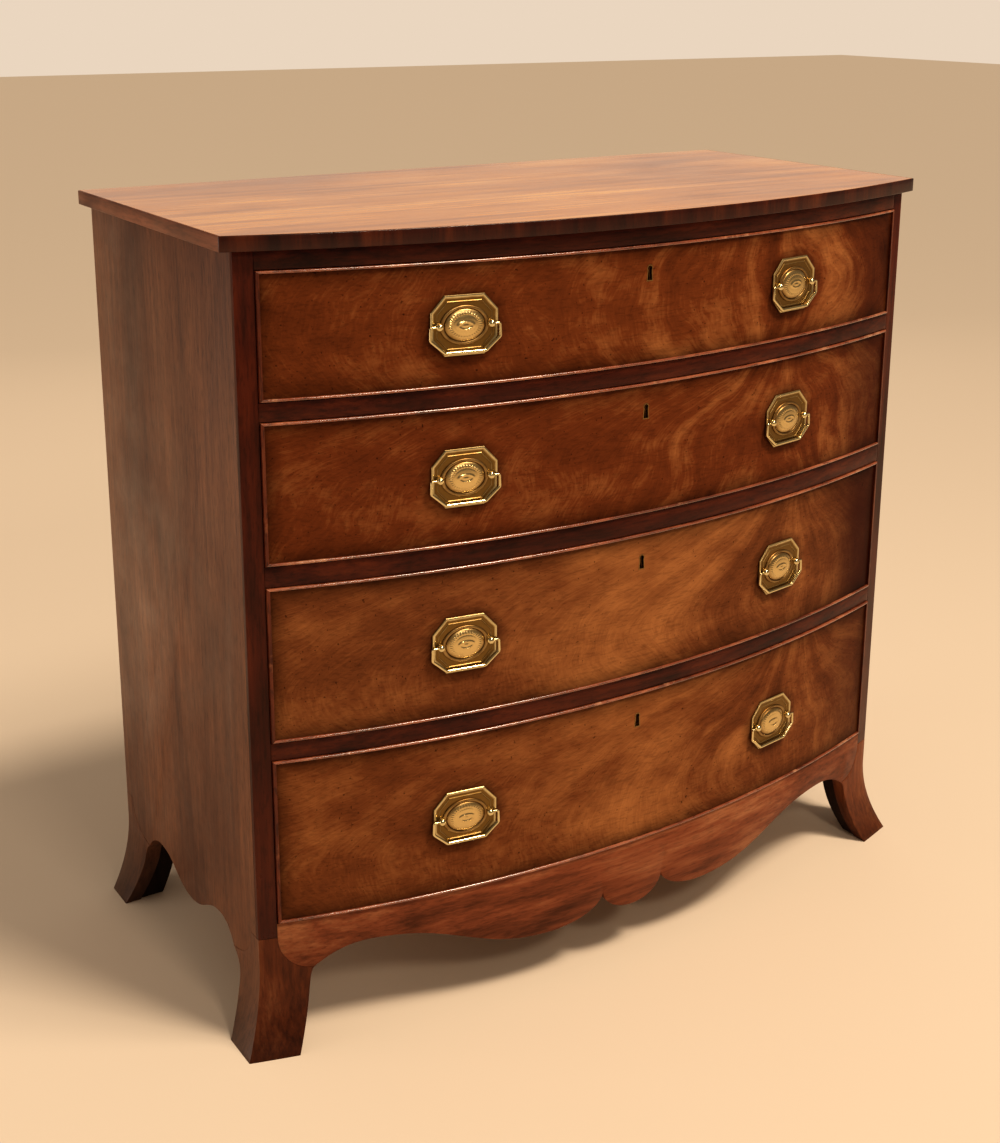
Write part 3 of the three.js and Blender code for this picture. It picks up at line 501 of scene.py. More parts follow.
def add_node(
    tree: bpy.types.NodeTree,
    kind: str,
    inputs: dict[str | int, Input] | Sequence[Input] = (),
    out: str | int = 0,
    stops: Sequence[tuple[float, float | str]] = (),
    **settings: object,
) -> Socket:
    """Adds a node with its values, links and settings.

    Args:
        tree: The material's node tree.
        kind: The node's type name without its first word.
        inputs: Its inputs, as feed takes them.
        out: The output that is wanted.
        stops: For a ramp, its places with a hex colour or a grey level each.
        settings: Properties to set on the node.

    Returns:
        The wanted output socket.
    """
    node = tree.nodes.new(f"ShaderNode{kind}")
    for key, value in settings.items():
        setattr(node, key, value)
    feed(node, inputs)
    for i, (place, value) in enumerate(stops):
        elements = node.color_ramp.elements
        element = elements[i] if i < len(elements) else elements.new(place)
        element.position = place
        element.color = shade(value) if isinstance(value, str) else (value, value, value, 1)
    return node.outputs[out]


class Grain(Enum):
    """The way that the grain of a board runs, as the turn that lays it along X."""

    ACROSS = (0.0, 0.0, 0.0)
    UPRIGHT = (0.0, math.pi / 2, 0.0)
    DEEP = (0.0, 0.0, math.pi / 2)


@dataclass(frozen=True)
class Finish:
    """A surface: its name and its shader."""

    name: str

    def material(self) -> bpy.types.Material:
        """Makes the material, or finds it if it is there.

        Returns:
            The material.
        """
        made = bpy.data.materials.get(self.name)
        if made is None:
            made = bpy.data.materials.new(self.name)
            made.use_nodes = True
            self.paint(partial(add_node, made.node_tree), made.node_tree.nodes["Principled BSDF"])
        return made

    def paint(self, node: Adder, shader: bpy.types.Node) -> None:
        """Fills the node tree; each kind of finish has its own way."""
        raise NotImplementedError


@dataclass(frozen=True)
class Wood(Finish):
    """A solid board under old polish.

    Long soft streaks along the grain carry the colour, short dark pores break it up, and the
    polish is a little duller in patches.
    """

    dark: str = "#3c180c"
    middle: str = "#5a2713"
    light: str = "#743820"
    grain: Grain = Grain.ACROSS
    span: Point = (0.36, 0.64)
    cloud: float = 0.090
    cloud_stretch: float = 0.3
    cloud_share: float = 0.55
    streak: float = 0.009
    streak_stretch: float = 0.05
    streak_share: float = 0.45
    pore: float = 0.0013
    pore_stretch: float = 0.16
    pore_depth: float = 0.45
    pore_edge: Point = (0.36, 0.48)
    pore_relief: float = 0.6
    roughness: float = 0.34
    smear: float = 14
    smear_range: Point = (0.3, 0.7)
    rougher: Point = (0.85, 1.25)
    gloss: float = 0.30
    ior: float = 1.5
    coat: float = 0.10
    coat_roughness: float = 0.10
    bump: float = 0.25
    bump_depth: float = 0.0003

    def tone(self, node: Adder, along: Socket) -> Socket:
        """Mixes clouds and streaks into one tone.

        Args:
            node: Adds a node to the material.
            along: Coordinates with the grain along X.

        Returns:
            A tone round one half.
        """
        wide = node("Mapping", {"Vector": along, "Scale": (self.cloud_stretch, 1, 1)})
        scale = 1 / self.cloud
        clouds = node("TexNoise", {"Vector": wide, "Scale": scale, "Detail": 4, "Distortion": 0.6})
        long = node("Mapping", {"Vector": along, "Scale": (self.streak_stretch, 1, 1)})
        scale = 1 / self.streak
        lines = node("TexNoise", {"Vector": long, "Scale": scale, "Detail": 4, "Roughness": 0.6})
        both = node("Math", (clouds, self.cloud_share), operation="MULTIPLY")
        return node("Math", (lines, self.streak_share, both), operation="MULTIPLY_ADD")

    def wear(self, node: Adder, place: Socket, colour: Socket) -> Socket:
        """Changes the colour for worn or gathered polish and for painted light; a plain board keeps it."""
        return colour

    def paint(self, node: Adder, shader: bpy.types.Node) -> None:
        """Fills the node tree.

        Args:
            node: Adds a node to the material.
            shader: The material's shader.
        """
        place = node("TexCoord", out="Object")
        along = node("Mapping", {"Vector": place, "Rotation": self.grain.value})
        tone = self.tone(node, along)
        ramp = [(self.span[0], self.dark), (0.5, self.middle), (self.span[1], self.light)]
        colour = node("ValToRGB", (tone,), stops=ramp)
        thin = node("Mapping", {"Vector": along, "Scale": (self.pore_stretch, 1, 1)})
        scale = 0.5 / self.pore
        grit = node("TexNoise", {"Vector": thin, "Scale": scale, "Detail": 2, "Roughness": 0.5})
        edge = [(self.pore_edge[0], 1 - self.pore_depth), (self.pore_edge[1], 1.0)]
        pores = node("ValToRGB", (grit,), stops=edge)
        colour = node("Mix", {0: 1.0, 6: colour, 7: pores}, **MULTIPLIED)
        colour = self.wear(node, place, colour)
        smear = node("TexNoise", {"Vector": place, "Scale": self.smear, "Detail": 5, "Roughness": 0.6})
        rougher = [self.roughness * share for share in self.rougher]
        rough = node("MapRange", (smear, *self.smear_range, *rougher))
        height = node("Math", (pores, self.pore_relief, tone), operation="MULTIPLY_ADD")
        relief = node("Bump", {"Strength": self.bump, "Distance": self.bump_depth, "Height": height})
        feed(shader, {
            "Base Color": colour, "Roughness": rough, "Normal": relief, "IOR": self.ior,
            "Specular IOR Level": self.gloss, "Coat Weight": self.coat,
            "Coat Roughness": self.coat_roughness,
        })


@dataclass(frozen=True)
class Veneer(Wood):
    """Flame figured veneer on one drawer front.

    The left third is plain and mottled. From the middle the figure sweeps round in arcs that
    open to the right, and past the right handle they turn the other way. Old polish has
    gathered dark along the beads and round the brass.
    """

    low: float = 0.0
    high: float = 1.0
    handle_z: float = 0.5
    bulge: float = 0.45
    bend: float = 12.0
    low_bend: float = 12.0
    far_bend: float = -9.0
    turn: float = 0.26
    turn_reach: float = 0.10
    swirl: float = 9.0
    swirl_reach: float = 0.10
    slant: float = 0.22
    seed: float = 0.0
    feather: float = 62.0
    feather_share: float = 0.45
    band: float = 15.0
    balance: float = 0.68
    figure: float = 1.0
    plain: Point = (-0.26, 0.10)
    full: Point = (0.22, 0.46)
    flare: tuple[float, float, float, float] = (0.24, 0.36, 1.0, 1.35)
    mottle: float = 17.0
    mottle_share: float = 0.36
    fibre: float = 240.0
    fibre_share: float = 0.14
    heart: float = -0.03
    heart_reach: float = 0.26
    heart_light: float = 0.0
    base: float = 0.25
    half_width: float = 0.4854
    bead: float = 0.0036
    rim: float = 0.05
    # Painted shade: between these places across, the right end darkens by end_tone towards its shade
    # colour.
    end: Point = (0.33, 0.45)
    end_tone: float = 0.4
    end_colour: str = "#33100a"
    handle_x: float = 0.254
    plate_ratio: float = 1.18
    halo: float = 0.1
    specks: float = 260.0
    stray: float = 30.0
    rim_stray: float = 0.016
    halo_stray: float = 0.010
    rim_stops: tuple[Point, ...] = ((0.10, 0.30), (0.28, 0.62), (0.55, 0.92), (0.85, 1.0))
    halo_stops: tuple[Point, ...] = ((0.44, 0.35), (0.52, 0.62), (0.66, 1.0))
    speck_stops: tuple[Point, ...] = ((0.22, 0.35), (0.30, 1.0))

    def tone(self, node: Adder, along: Socket) -> Socket:
        """Bends the streaks into the flame figure.

        Args:
            node: Adds a node to the material.
            along: Coordinates with the grain along X.

        Returns:
            A tone round one half.
        """
        x, z = (node("SeparateXYZ", (along,), out=axis) for axis in "XZ")
        middle = self.low + self.bulge * (self.high - self.low)
        off = node("Math", (z, middle), operation="SUBTRACT")
        over, under = (node("Math", (off, 0.0), operation=which) for which in ("MAXIMUM", "MINIMUM"))
        over, under = (node("Math", (part, part), operation="MULTIPLY") for part in (over, under))
        under = node("Math", (under, self.low_bend / self.bend), operation="MULTIPLY")
        square = node("Math", (over, under), operation="ADD")
        turn = (self.turn - self.turn_reach, self.turn + self.turn_reach)
        bend = node("MapRange", (x, *turn, -self.bend, -self.far_bend), **EASED)
        arc = node("Math", (square, bend, x), operation="MULTIPLY_ADD")
        swirl = node("TexNoise", {"Vector": along, "Scale": self.swirl, "Detail": 2})
        arc = node("Math", (swirl, self.swirl_reach, arc), operation="MULTIPLY_ADD")
        slow = node("Math", (off, self.slant), operation="MULTIPLY")
        flow = node("CombineXYZ", (arc, self.seed, slow))
        feather = node("TexNoise", {
            "Vector": flow, "Scale": self.feather, "Detail": 4, "Roughness": 0.62, "Distortion": 0.2,
        })
        band = node("TexNoise", {"Vector": flow, "Scale": self.band, "Detail": 2})
        feather = node("Math", (feather, self.feather_share, band), operation="MULTIPLY_ADD")
        (start, weak), (stop, strong) = self.plain, self.full
        strength = node("MapRange", (x, start, stop, weak * self.figure, strong * self.figure), **EASED)
        flare = node("MapRange", (x, *self.flare), **EASED)
        strength = node("Math", (strength, flare), operation="MULTIPLY")
        centred = node("Math", (feather, self.balance), operation="SUBTRACT")
        figure = node("Math", (centred, strength), operation="MULTIPLY")
        moved = node("Mapping", {"Vector": along, "Location": (self.seed, 0, 0), "Scale": (0.5, 1, 1)})
        mottle = node("TexNoise", {"Vector": moved, "Scale": self.mottle, "Detail": 6, "Roughness": 0.66})
        fibre = node("TexNoise", {"Vector": flow, "Scale": self.fibre, "Detail": 3, "Roughness": 0.6})
        figure = node("Math", (fibre, self.fibre_share, figure), operation="MULTIPLY_ADD")
        aside = node("Math", (x, self.heart), operation="SUBTRACT")
        aside = node("Math", (aside,), operation="ABSOLUTE")
        brightest = self.base + self.heart_light
        lifted = node("MapRange", (aside, 0, self.heart_reach, brightest, self.base), **EASED)
        lifted = node("Math", (figure, lifted), operation="ADD")
        return node("Math", (mottle, self.mottle_share, lifted), operation="MULTIPLY_ADD")

    def wear(self, node: Adder, place: Socket, colour: Socket) -> Socket:
        """Darkens the polish along the beads and round the brass, and paints shade on the right end.

        Args:
            node: Adds a node to the material.
            place: Object coordinates.
            colour: The wood's colour.

        Returns:
            The colour under its polish.
        """
        stray = node("TexNoise", {"Vector": place, "Scale": self.stray, "Detail": 4})
        x, z = (node("SeparateXYZ", (place,), out=axis) for axis in "XZ")
        across = node("Math", (x,), operation="ABSOLUTE")
        to_end = node("Math", (self.half_width, across), operation="SUBTRACT")
        up = node("Math", (z, (self.low + self.high) / 2), operation="SUBTRACT")
        off = node("Math", (up,), operation="ABSOLUTE")
        to_edge = node("Math", ((self.high - self.low) / 2 - self.bead, off), operation="SUBTRACT")
        near = node("Math", (to_end, to_edge), operation="MINIMUM")
        near = node("Math", (stray, self.rim_stray, near), operation="MULTIPLY_ADD")
        near = node("Math", (near, 1 / self.rim), operation="MULTIPLY")
        rim = node("ValToRGB", (near,), stops=self.rim_stops)
        # Painted shade on the right end, where the bow turns away.
        end = node("MapRange", (x, *self.end, 0.0, self.end_tone), **EASED)
        sideways = node("Math", (across, self.handle_x), operation="SUBTRACT")
        below = node("Math", (z, self.handle_z), operation="SUBTRACT")
        below = node("Math", (below, self.plate_ratio), operation="MULTIPLY")
        level = node("CombineXYZ", {"X": sideways, "Z": below})
        gap = node("VectorMath", (level,), out="Value", operation="LENGTH")
        gap = node("Math", (stray, self.halo_stray, gap), operation="MULTIPLY_ADD")
        gap = node("Math", (gap, 1 / self.halo), operation="MULTIPLY")
        halo = node("ValToRGB", (gap,), stops=self.halo_stops)
        specks = node("TexNoise", {"Vector": place, "Scale": self.specks, "Detail": 1})
        dots = node("ValToRGB", (specks,), stops=self.speck_stops)
        colour = node("Mix", {0: end, 6: colour, 7: shade(self.end_colour)}, **MIXED)
        for layer in (rim, halo, dots):
            colour = node("Mix", {0: 1.0, 6: colour, 7: layer}, **MULTIPLIED)
        return colour


@dataclass(frozen=True)
class Planked(Wood):
    """Upright boards side by side, each with a figure and a tone of its own."""

    plank: float = 0.124925
    variety: float = 0.14

    def tone(self, node: Adder, along: Socket) -> Socket:
        """Shifts the streaks from board to board.

        Args:
            node: Adds a node to the material.
            along: Coordinates with the grain along X, so that the boards follow each other along Z.

        Returns:
            A tone round one half.
        """
        across = node("SeparateXYZ", (along,), out="Z")
        count = node("Math", (across, self.plank), operation="DIVIDE")
        count = node("Math", (count,), operation="FLOOR")
        step = node("CombineXYZ", (count, count))
        moved = node("VectorMath", (along, step), operation="ADD")
        own = node("TexWhiteNoise", {"W": count}, out="Value", noise_dimensions="1D")
        own = node("Math", (own, self.variety), operation="MULTIPLY")
        own = node("Math", (own, self.variety / 2), operation="SUBTRACT")
        return node("Math", (super().tone(node, moved), own), operation="ADD")


@dataclass(frozen=True)
class Aged(Wood):
    """A board that is darker towards the floor and towards its ends; on the glue blocks this is painted
    shade.
    """

    floor_tone: float = 0.5
    floor_reach: Point = (0.02, 0.135)
    end_tone: float = 1.0
    end_reach: Point = (0.34, 0.47)
    stray: float = 22.0
    floor_stray: float = 0.06
    end_stray: float = 0.05

    def wear(self, node: Adder, place: Socket, colour: Socket) -> Socket:
        """Darkens the colour low down and outwards, with an uneven border.

        Args:
            node: Adds a node to the material.
            place: Object coordinates.
            colour: The wood's colour.

        Returns:
            The darkened colour.
        """
        stray = node("TexNoise", {"Vector": place, "Scale": self.stray, "Detail": 4})
        x, z = (node("SeparateXYZ", (place,), out=axis) for axis in "XZ")
        level = node("Math", (stray, self.floor_stray, z), operation="MULTIPLY_ADD")
        low = node("MapRange", (level, *self.floor_reach, self.floor_tone, 1.0))
        across = node("Math", (x,), operation="ABSOLUTE")
        across = node("Math", (stray, self.end_stray, across), operation="MULTIPLY_ADD")
        ends = node("MapRange", (across, *self.end_reach, 1.0, self.end_tone))
        both = node("Math", (low, ends), operation="MULTIPLY")
        return node("Mix", {0: 1.0, 6: colour, 7: both}, **MULTIPLIED)


@dataclass(frozen=True)
class Worn(Wood):
    """A narrow edge with paler patches: polish worn through to paler wood, and painted highlight."""

    bare: str = "#935b3d"
    length: float = 0.060
    amount: float = 0.56
    fade: float = 0.10
    strength: float = 0.75

    def wear(self, node: Adder, place: Socket, colour: Socket) -> Socket:
        """Lays paler patches along the edge: worn polish and painted highlight.

        Args:
            node: Adds a node to the material.
            place: Object coordinates.
            colour: The wood's colour.

        Returns:
            The colour with its paler patches.
        """
        scale = 1 / self.length
        rubbed_and_glint = node("TexNoise", {"Vector": place, "Scale": scale, "Detail": 6, "Roughness": 0.7})
        edge = [(self.amount, 0.0), (self.amount + self.fade, self.strength)]
        mask = node("ValToRGB", (rubbed_and_glint,), stops=edge)
        return node("Mix", {0: mask, 6: colour, 7: shade(self.bare)}, **MIXED)


@dataclass(frozen=True)
class Metal(Finish):
    """A metal, bright where it stands high and dark in its hollows: tarnish and painted cavity shade.

    The mesh attribute "height" runs from 0 in the hollows to 1 on the raised parts.
    """

    bright: str = "#e2c48c"
    dull: str = "#5a3f1d"
    high_roughness: float = 0.16
    low_roughness: float = 0.42
    patch: float = 0.012
    patch_share: float = 0.5
    colour_range: Point = (0.35, 0.95)
    rough_range: Point = (0.3, 1.1)
    grit: float = 900.0
    bump: float = 0.12
    bump_depth: float = 0.0002

    def paint(self, node: Adder, shader: bpy.types.Node) -> None:
        """Fills the node tree.

        Args:
            node: Adds a node to the material.
            shader: The material's shader.
        """
        place = node("TexCoord", out="Object")
        scale = 1 / self.patch
        patches = node("TexNoise", {"Vector": place, "Scale": scale, "Detail": 5, "Roughness": 0.65})
        height = node("Attribute", out="Fac", attribute_name="height")
        level = node("Math", (patches, self.patch_share, height), operation="MULTIPLY_ADD")
        ramp = list(zip(self.colour_range, (self.dull, self.bright)))
        colour = node("ValToRGB", (level,), stops=ramp)
        rough = node("MapRange", (level, *self.rough_range, self.low_roughness, self.high_roughness))
        fine = node("TexNoise", {"Vector": place, "Scale": self.grit, "Detail": 2})
        relief = node("Bump", {"Strength": self.bump, "Distance": self.bump_depth, "Height": fine})
        feed(shader, {"Base Color": colour, "Roughness": rough, "Metallic": 1.0, "Normal": relief})


# Wide sawn mahogany under a clear French polish, golden and lighter than the rest: long calm streaks.
TOP_WOOD = Wood(
    "faded_french_polished_mahogany_top", "#8e4f1e", "#b8732f", "#d3944a", cloud=0.16, streak=0.013,
    pore=0.0014, pore_depth=0.16, roughness=0.15, gloss=0.32, coat=0.12, bump=0.05,
    span=(0.38, 0.62),
)
# Strips of veneer laid across the edge of the top: dark, with upright stripes.
TOP_EDGE_WOOD = Wood(
    "crossbanded_mahogany_edge", "#240b06", "#37140a", "#52240f", Grain.UPRIGHT, cloud=0.050,
    streak=0.020, pore_depth=0.2, roughness=0.30, gloss=0.2, coat=0.3,
)
# The ends of the top have kept a lighter, duller brown.
TOP_END_WOOD = Wood(
    "worn_mahogany_end_bands", "#50291a", "#6e3f28", "#875138", Grain.DEEP, cloud=0.040,
    streak=0.008, pore_depth=0.2, roughness=0.40, gloss=0.3, coat=0.05,
)
# The rails are shaded by dark polish in their corners, so that they draw lines between the drawers.
RAIL_WOOD = Wood(
    "dark_polished_mahogany_rails", "#260c06", "#41180c", "#582612", cloud=0.06, pore_depth=0.28,
    roughness=0.32, gloss=0.14, coat=0.08,
)
# The same dark polish on the front edges of the sides, with the grain upright.
STILE_WOOD = Wood(
    "dark_polished_mahogany_stiles", "#2a1007", "#43190c", "#562411", Grain.UPRIGHT, cloud=0.06,
    pore_depth=0.25, roughness=0.32, gloss=0.14, coat=0.08,
)
# Plain mahogany sides, waxed satin and greyed: fine upright streaks.
SIDE_WOOD = Aged(
    "waxed_mahogany_sides", "#512f1f", "#69412b", "#805338", Grain.UPRIGHT, cloud=0.11,
    streak=0.008, pore=0.0014, pore_depth=0.30, roughness=0.42, gloss=0.3, coat=0.05,
    floor_tone=0.42,
)
# A redder, flatly lit board with soft broad streaks, a little darker at its ends.
APRON_WOOD = Aged(
    "polished_mahogany_apron", "#4e2714", "#7b4228", "#996342", cloud=0.12, pore_depth=0.22,
    roughness=0.34, gloss=0.12, coat=0.04, floor_tone=0.9, end_tone=0.9,
)
# Polished foot fronts, scuffed and dirtied towards the floor. On the left foot, painted a little dark as
# shade.
FOOT_WOOD = Aged(
    "polished_mahogany_feet", "#3f1e0f", "#5a2d17", "#714227", Grain.UPRIGHT, cloud=0.05,
    streak=0.006, pore_depth=0.2, roughness=0.36, gloss=0.14, coat=0.05, floor_tone=0.42,
)
# The right foot is painted lighter, to the apron's brown: painted light from the right.
FOOT_WOOD_PAINTED_LIT = replace(
    FOOT_WOOD, name="sun_faded_mahogany_foot", dark="#4f2713", middle="#70391d", light="#8a5230"
)
# Narrow beads, worn through the polish along their rounded noses, and painted pale: painted highlight.
BEAD_WOOD_PAINTED_HIGHLIGHT = Worn(
    "rubbed_mahogany_cock_bead", "#5a2a17", "#84452a", "#a56444", cloud=0.04, roughness=0.24,
    gloss=0.7, coat=1.0, bare="#bd8a68",
)
# The upright beads are darker, without the painted highlight of the lying beads, with few pale patches.
BEAD_UPRIGHT = Worn(
    "rubbed_mahogany_upright_bead", "#3c170c", "#5e2a16", "#7c4428", Grain.UPRIGHT, cloud=0.04,
    roughness=0.3, gloss=0.2, coat=0.2, amount=0.6,
)
# Unpolished secondary timber, planed and left to brown: dry, matt and open grained.
LINING_OAK = Wood(
    "planed_oak_linings", "#8a673c", "#a8814f", "#bd9864", Grain.DEEP, streak=0.007, pore_depth=0.3,
    roughness=0.7, gloss=0.25, coat=0,
)
# The same oak where its grain runs across the chest.
LINING_ACROSS = replace(LINING_OAK, name="planed_oak_boards_across", grain=Grain.ACROSS)
# The blocks behind the feet are painted nearly black: painted shade for the dark corner inside each foot.
BLOCK_WOOD_PAINTED_SHADE = Aged(
    "stained_sawn_glue_blocks", "#1e110a", "#2e1b10", "#3c2415", Grain.UPRIGHT, streak=0.010,
    pore_depth=0.2, roughness=0.7, gloss=0.2, coat=0, floor_tone=0.6,
)
# Rough pine that has gone brown and dusty, each board a tone of its own.
BACK_PINE = Planked(
    "planed_pine_backboards", "#64462a", "#86643c", "#a07e50", Grain.UPRIGHT, cloud=0.14,
    streak=0.012, pore_depth=0.12, roughness=0.75, gloss=0.2, coat=0,
)
# Stamped sheet brass under worn lacquer: bright rims and balls, tarnish and painted shade below.
BRASS = Metal("stamped_lacquered_brass", "#dccb9c", "#806438")
# The dome and its ring have kept a redder lacquer.
DOME_BRASS = Metal("stamped_brass_under_red_lacquer", "#d8bd86", "#7a5a30", 0.2)
# Cast brass that nobody polishes: brown and nearly matt.
DULL_BRASS = Metal("dull_cast_brass", "#96744a", "#4c3a22", 0.35, 0.5)
# Filed iron, grey with a dull shine.
IRON = Metal("wrought_iron_lock_plate", "#7b756c", "#46423d", 0.4, 0.55)


def dress(piece: Piece, finish: Finish) -> None:
    """Gives a piece its finish, in every material slot that it has.

    Args:
        piece: The piece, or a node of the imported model.
        finish: Its finish.
    """
    made = finish.material()
    if not piece.material_slots:
        piece.data.materials.append(made)
    for holder in piece.material_slots:
        holder.material = made


def fit(
    piece: Piece, body: str, finish: Finish, replaces: Sequence[str] = ()
) -> Piece:
    """Dresses a finished piece and hangs it on its body.

    Args:
        piece: The piece, in its place.
        body: The body that it moves with.
        finish: Its finish.
        replaces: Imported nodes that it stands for.

    Returns:
        The same piece.
    """
    dress(piece, finish)
    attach(piece, body)
    if replaces:
        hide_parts(*replaces)
    LOG.info("%s rides on %s in %s", piece.name, body, finish.name)
    return piece


def dress_node(node: str, finish: Finish) -> None:
    """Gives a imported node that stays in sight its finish.

    Args:
        node: The node's name.
        finish: Its finish.
    """
    dress(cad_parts[node], finish)
    LOG.info("%s keeps its solid, in %s", node, finish.name)


# ---------------------------------------------------------------- the bow


@dataclass(frozen=True)
class Bow:
    """The curve of the front, and boards bent to it."""

    radius: float = 1.6394390
    centre_y: float = 1.3774390
    steps: int = 72
    nose_steps: int = 5
    overrun: float = 0.02
    thick: float = 0.2
    hub: float = 1.0
    touch: float = 0.00001

    def y(self, x: float, inset: float = 0.0) -> float:
        """Depth of the curve at a place across the chest.

        Args:
            x: Place across.
            inset: Distance behind the carcass's face.

        Returns:
            The place along Y.
        """
        return self.centre_y - math.sqrt((self.radius - inset) ** 2 - x * x)

    def board(
        self, name: str, outer: float, inner: float, low: float, high: float, reach: Point, nose: float = 0
    ) -> Piece:
        """Bends a board along the bow and saws its ends square to the front.

        Args:
            name: The piece's name.
            outer: Inset of its face.
            inner: Inset of its back.
            low: Height of its underside.
            high: Height of its top.
            reach: Where its left and right ends lie.
            nose: Radius of the rounding on its face, if any.

        Returns:
            The board.
        """
        far = max(abs(end) for end in reach)
        left, right = (-far, far) if inner > self.thick else reach
        near, deep = self.radius - outer, self.radius - inner
        start = math.asin((right + self.overrun) / deep)
        stop = math.asin((left - self.overrun) / deep)
        corners = [(near, low), (near, high), (deep, high), (deep, low)]
        sine, cosine = math.sin(start), math.cos(start)
        piece = outline_of(name, [(r * sine, self.centre_y - r * cosine, z) for r, z in corners])
        if nose:
            with editing(piece, "VERT"):
                pick(piece, "verts", lambda co: math.hypot(co.x, co.y - self.centre_y) > near - self.touch)
                bpy.ops.mesh.bevel(offset=nose, segments=self.nose_steps, affect="VERTICES")
        with editing(piece, chosen="SELECT"):
            middle = (0, self.centre_y, 0)
            bpy.ops.mesh.spin(steps=self.steps, angle=start - stop, center=middle, axis=(0, 0, 1))
        face_outwards(piece)
        saw(piece, (reach[1], 0, 0), (1, 0, 0))
        saw(piece, (reach[0], 0, 0), (-1, 0, 0))
        return piece

    def shelf(self, name: str, inset: float, back: float, low: float, high: float, reach: Point) -> Piece:
        """Makes a flat board with a bowed front and a straight back.

        Args:
            name: The piece's name.
            inset: Inset of its front edge.
            back: Place of its back edge along Y.
            low: Height of its underside.
            high: Height of its top.
            reach: Where its left and right ends lie.

        Returns:
            The board.
        """
        piece = self.board(name, inset, self.radius - self.hub, low, high, reach)
        saw(piece, (0, back, 0), (0, 1, 0))
        return piece


BOW = Bow()


# ---------------------------------------------------------------- carcass


@dataclass
class TopBoard:
    """The top: one wide board with a bowed front edge and softened arrises."""

    reach: float = 0.5285
    overhang: float = 0.010
    back: float = 0.272
    low: float = 0.998
    high: float = 1.016
    arris: float = 0.0013
    band: float = 0.0022

    def build(self) -> None:
        """Bends the board and the strip of cross-banding on its front edge."""
        face = -self.overhang
        inner = self.reach - self.band
        board = BOW.shelf("top_board", face + self.band, self.back, self.low, self.high, (-inner, inner))
        smooth(board)
        fit(board, "carcass", TOP_WOOD, ["top"])
        ends = (-self.reach, self.reach)
        strip = BOW.board("top_edge_band", face, face + self.band, self.low, self.high, ends)
        soften(strip, self.arris, BENT, 3)
        fit(strip, "carcass", TOP_EDGE_WOOD)
        for side in Side:
            ends = tuple(sorted((side.value * inner, side.value * self.reach)))
            name = f"top_end_band_{side.word}"
            cap = BOW.shelf(name, face + self.band, self.back, self.low, self.high, ends)
            soften(cap, self.arris, BENT, 3)
            fit(cap, "carcass", TOP_END_WOOD)


@dataclass(frozen=True)
class Wing:
    """Where a wing of a foot ends at three heights, measured from the carcass corner."""

    floor: float
    waist: float
    joint: float


@dataclass(frozen=True)
class Foot:
    """The corner that a foot stands at, and how its wings run.

    They run backwards from the corner where inwards is 1, and forwards where it is -1.
    """

    word: str
    piece: str
    corner: float
    inwards: int
    forwards: float
    across: Wing
    along: Wing
    depths: Point
    steps: int

    def face(self, x: float, inset: float) -> float:
        """Place along Y of the wing across the chest, at a place across and an inset."""
        return BOW.y(x, inset) if self.inwards > 0 else self.corner - inset


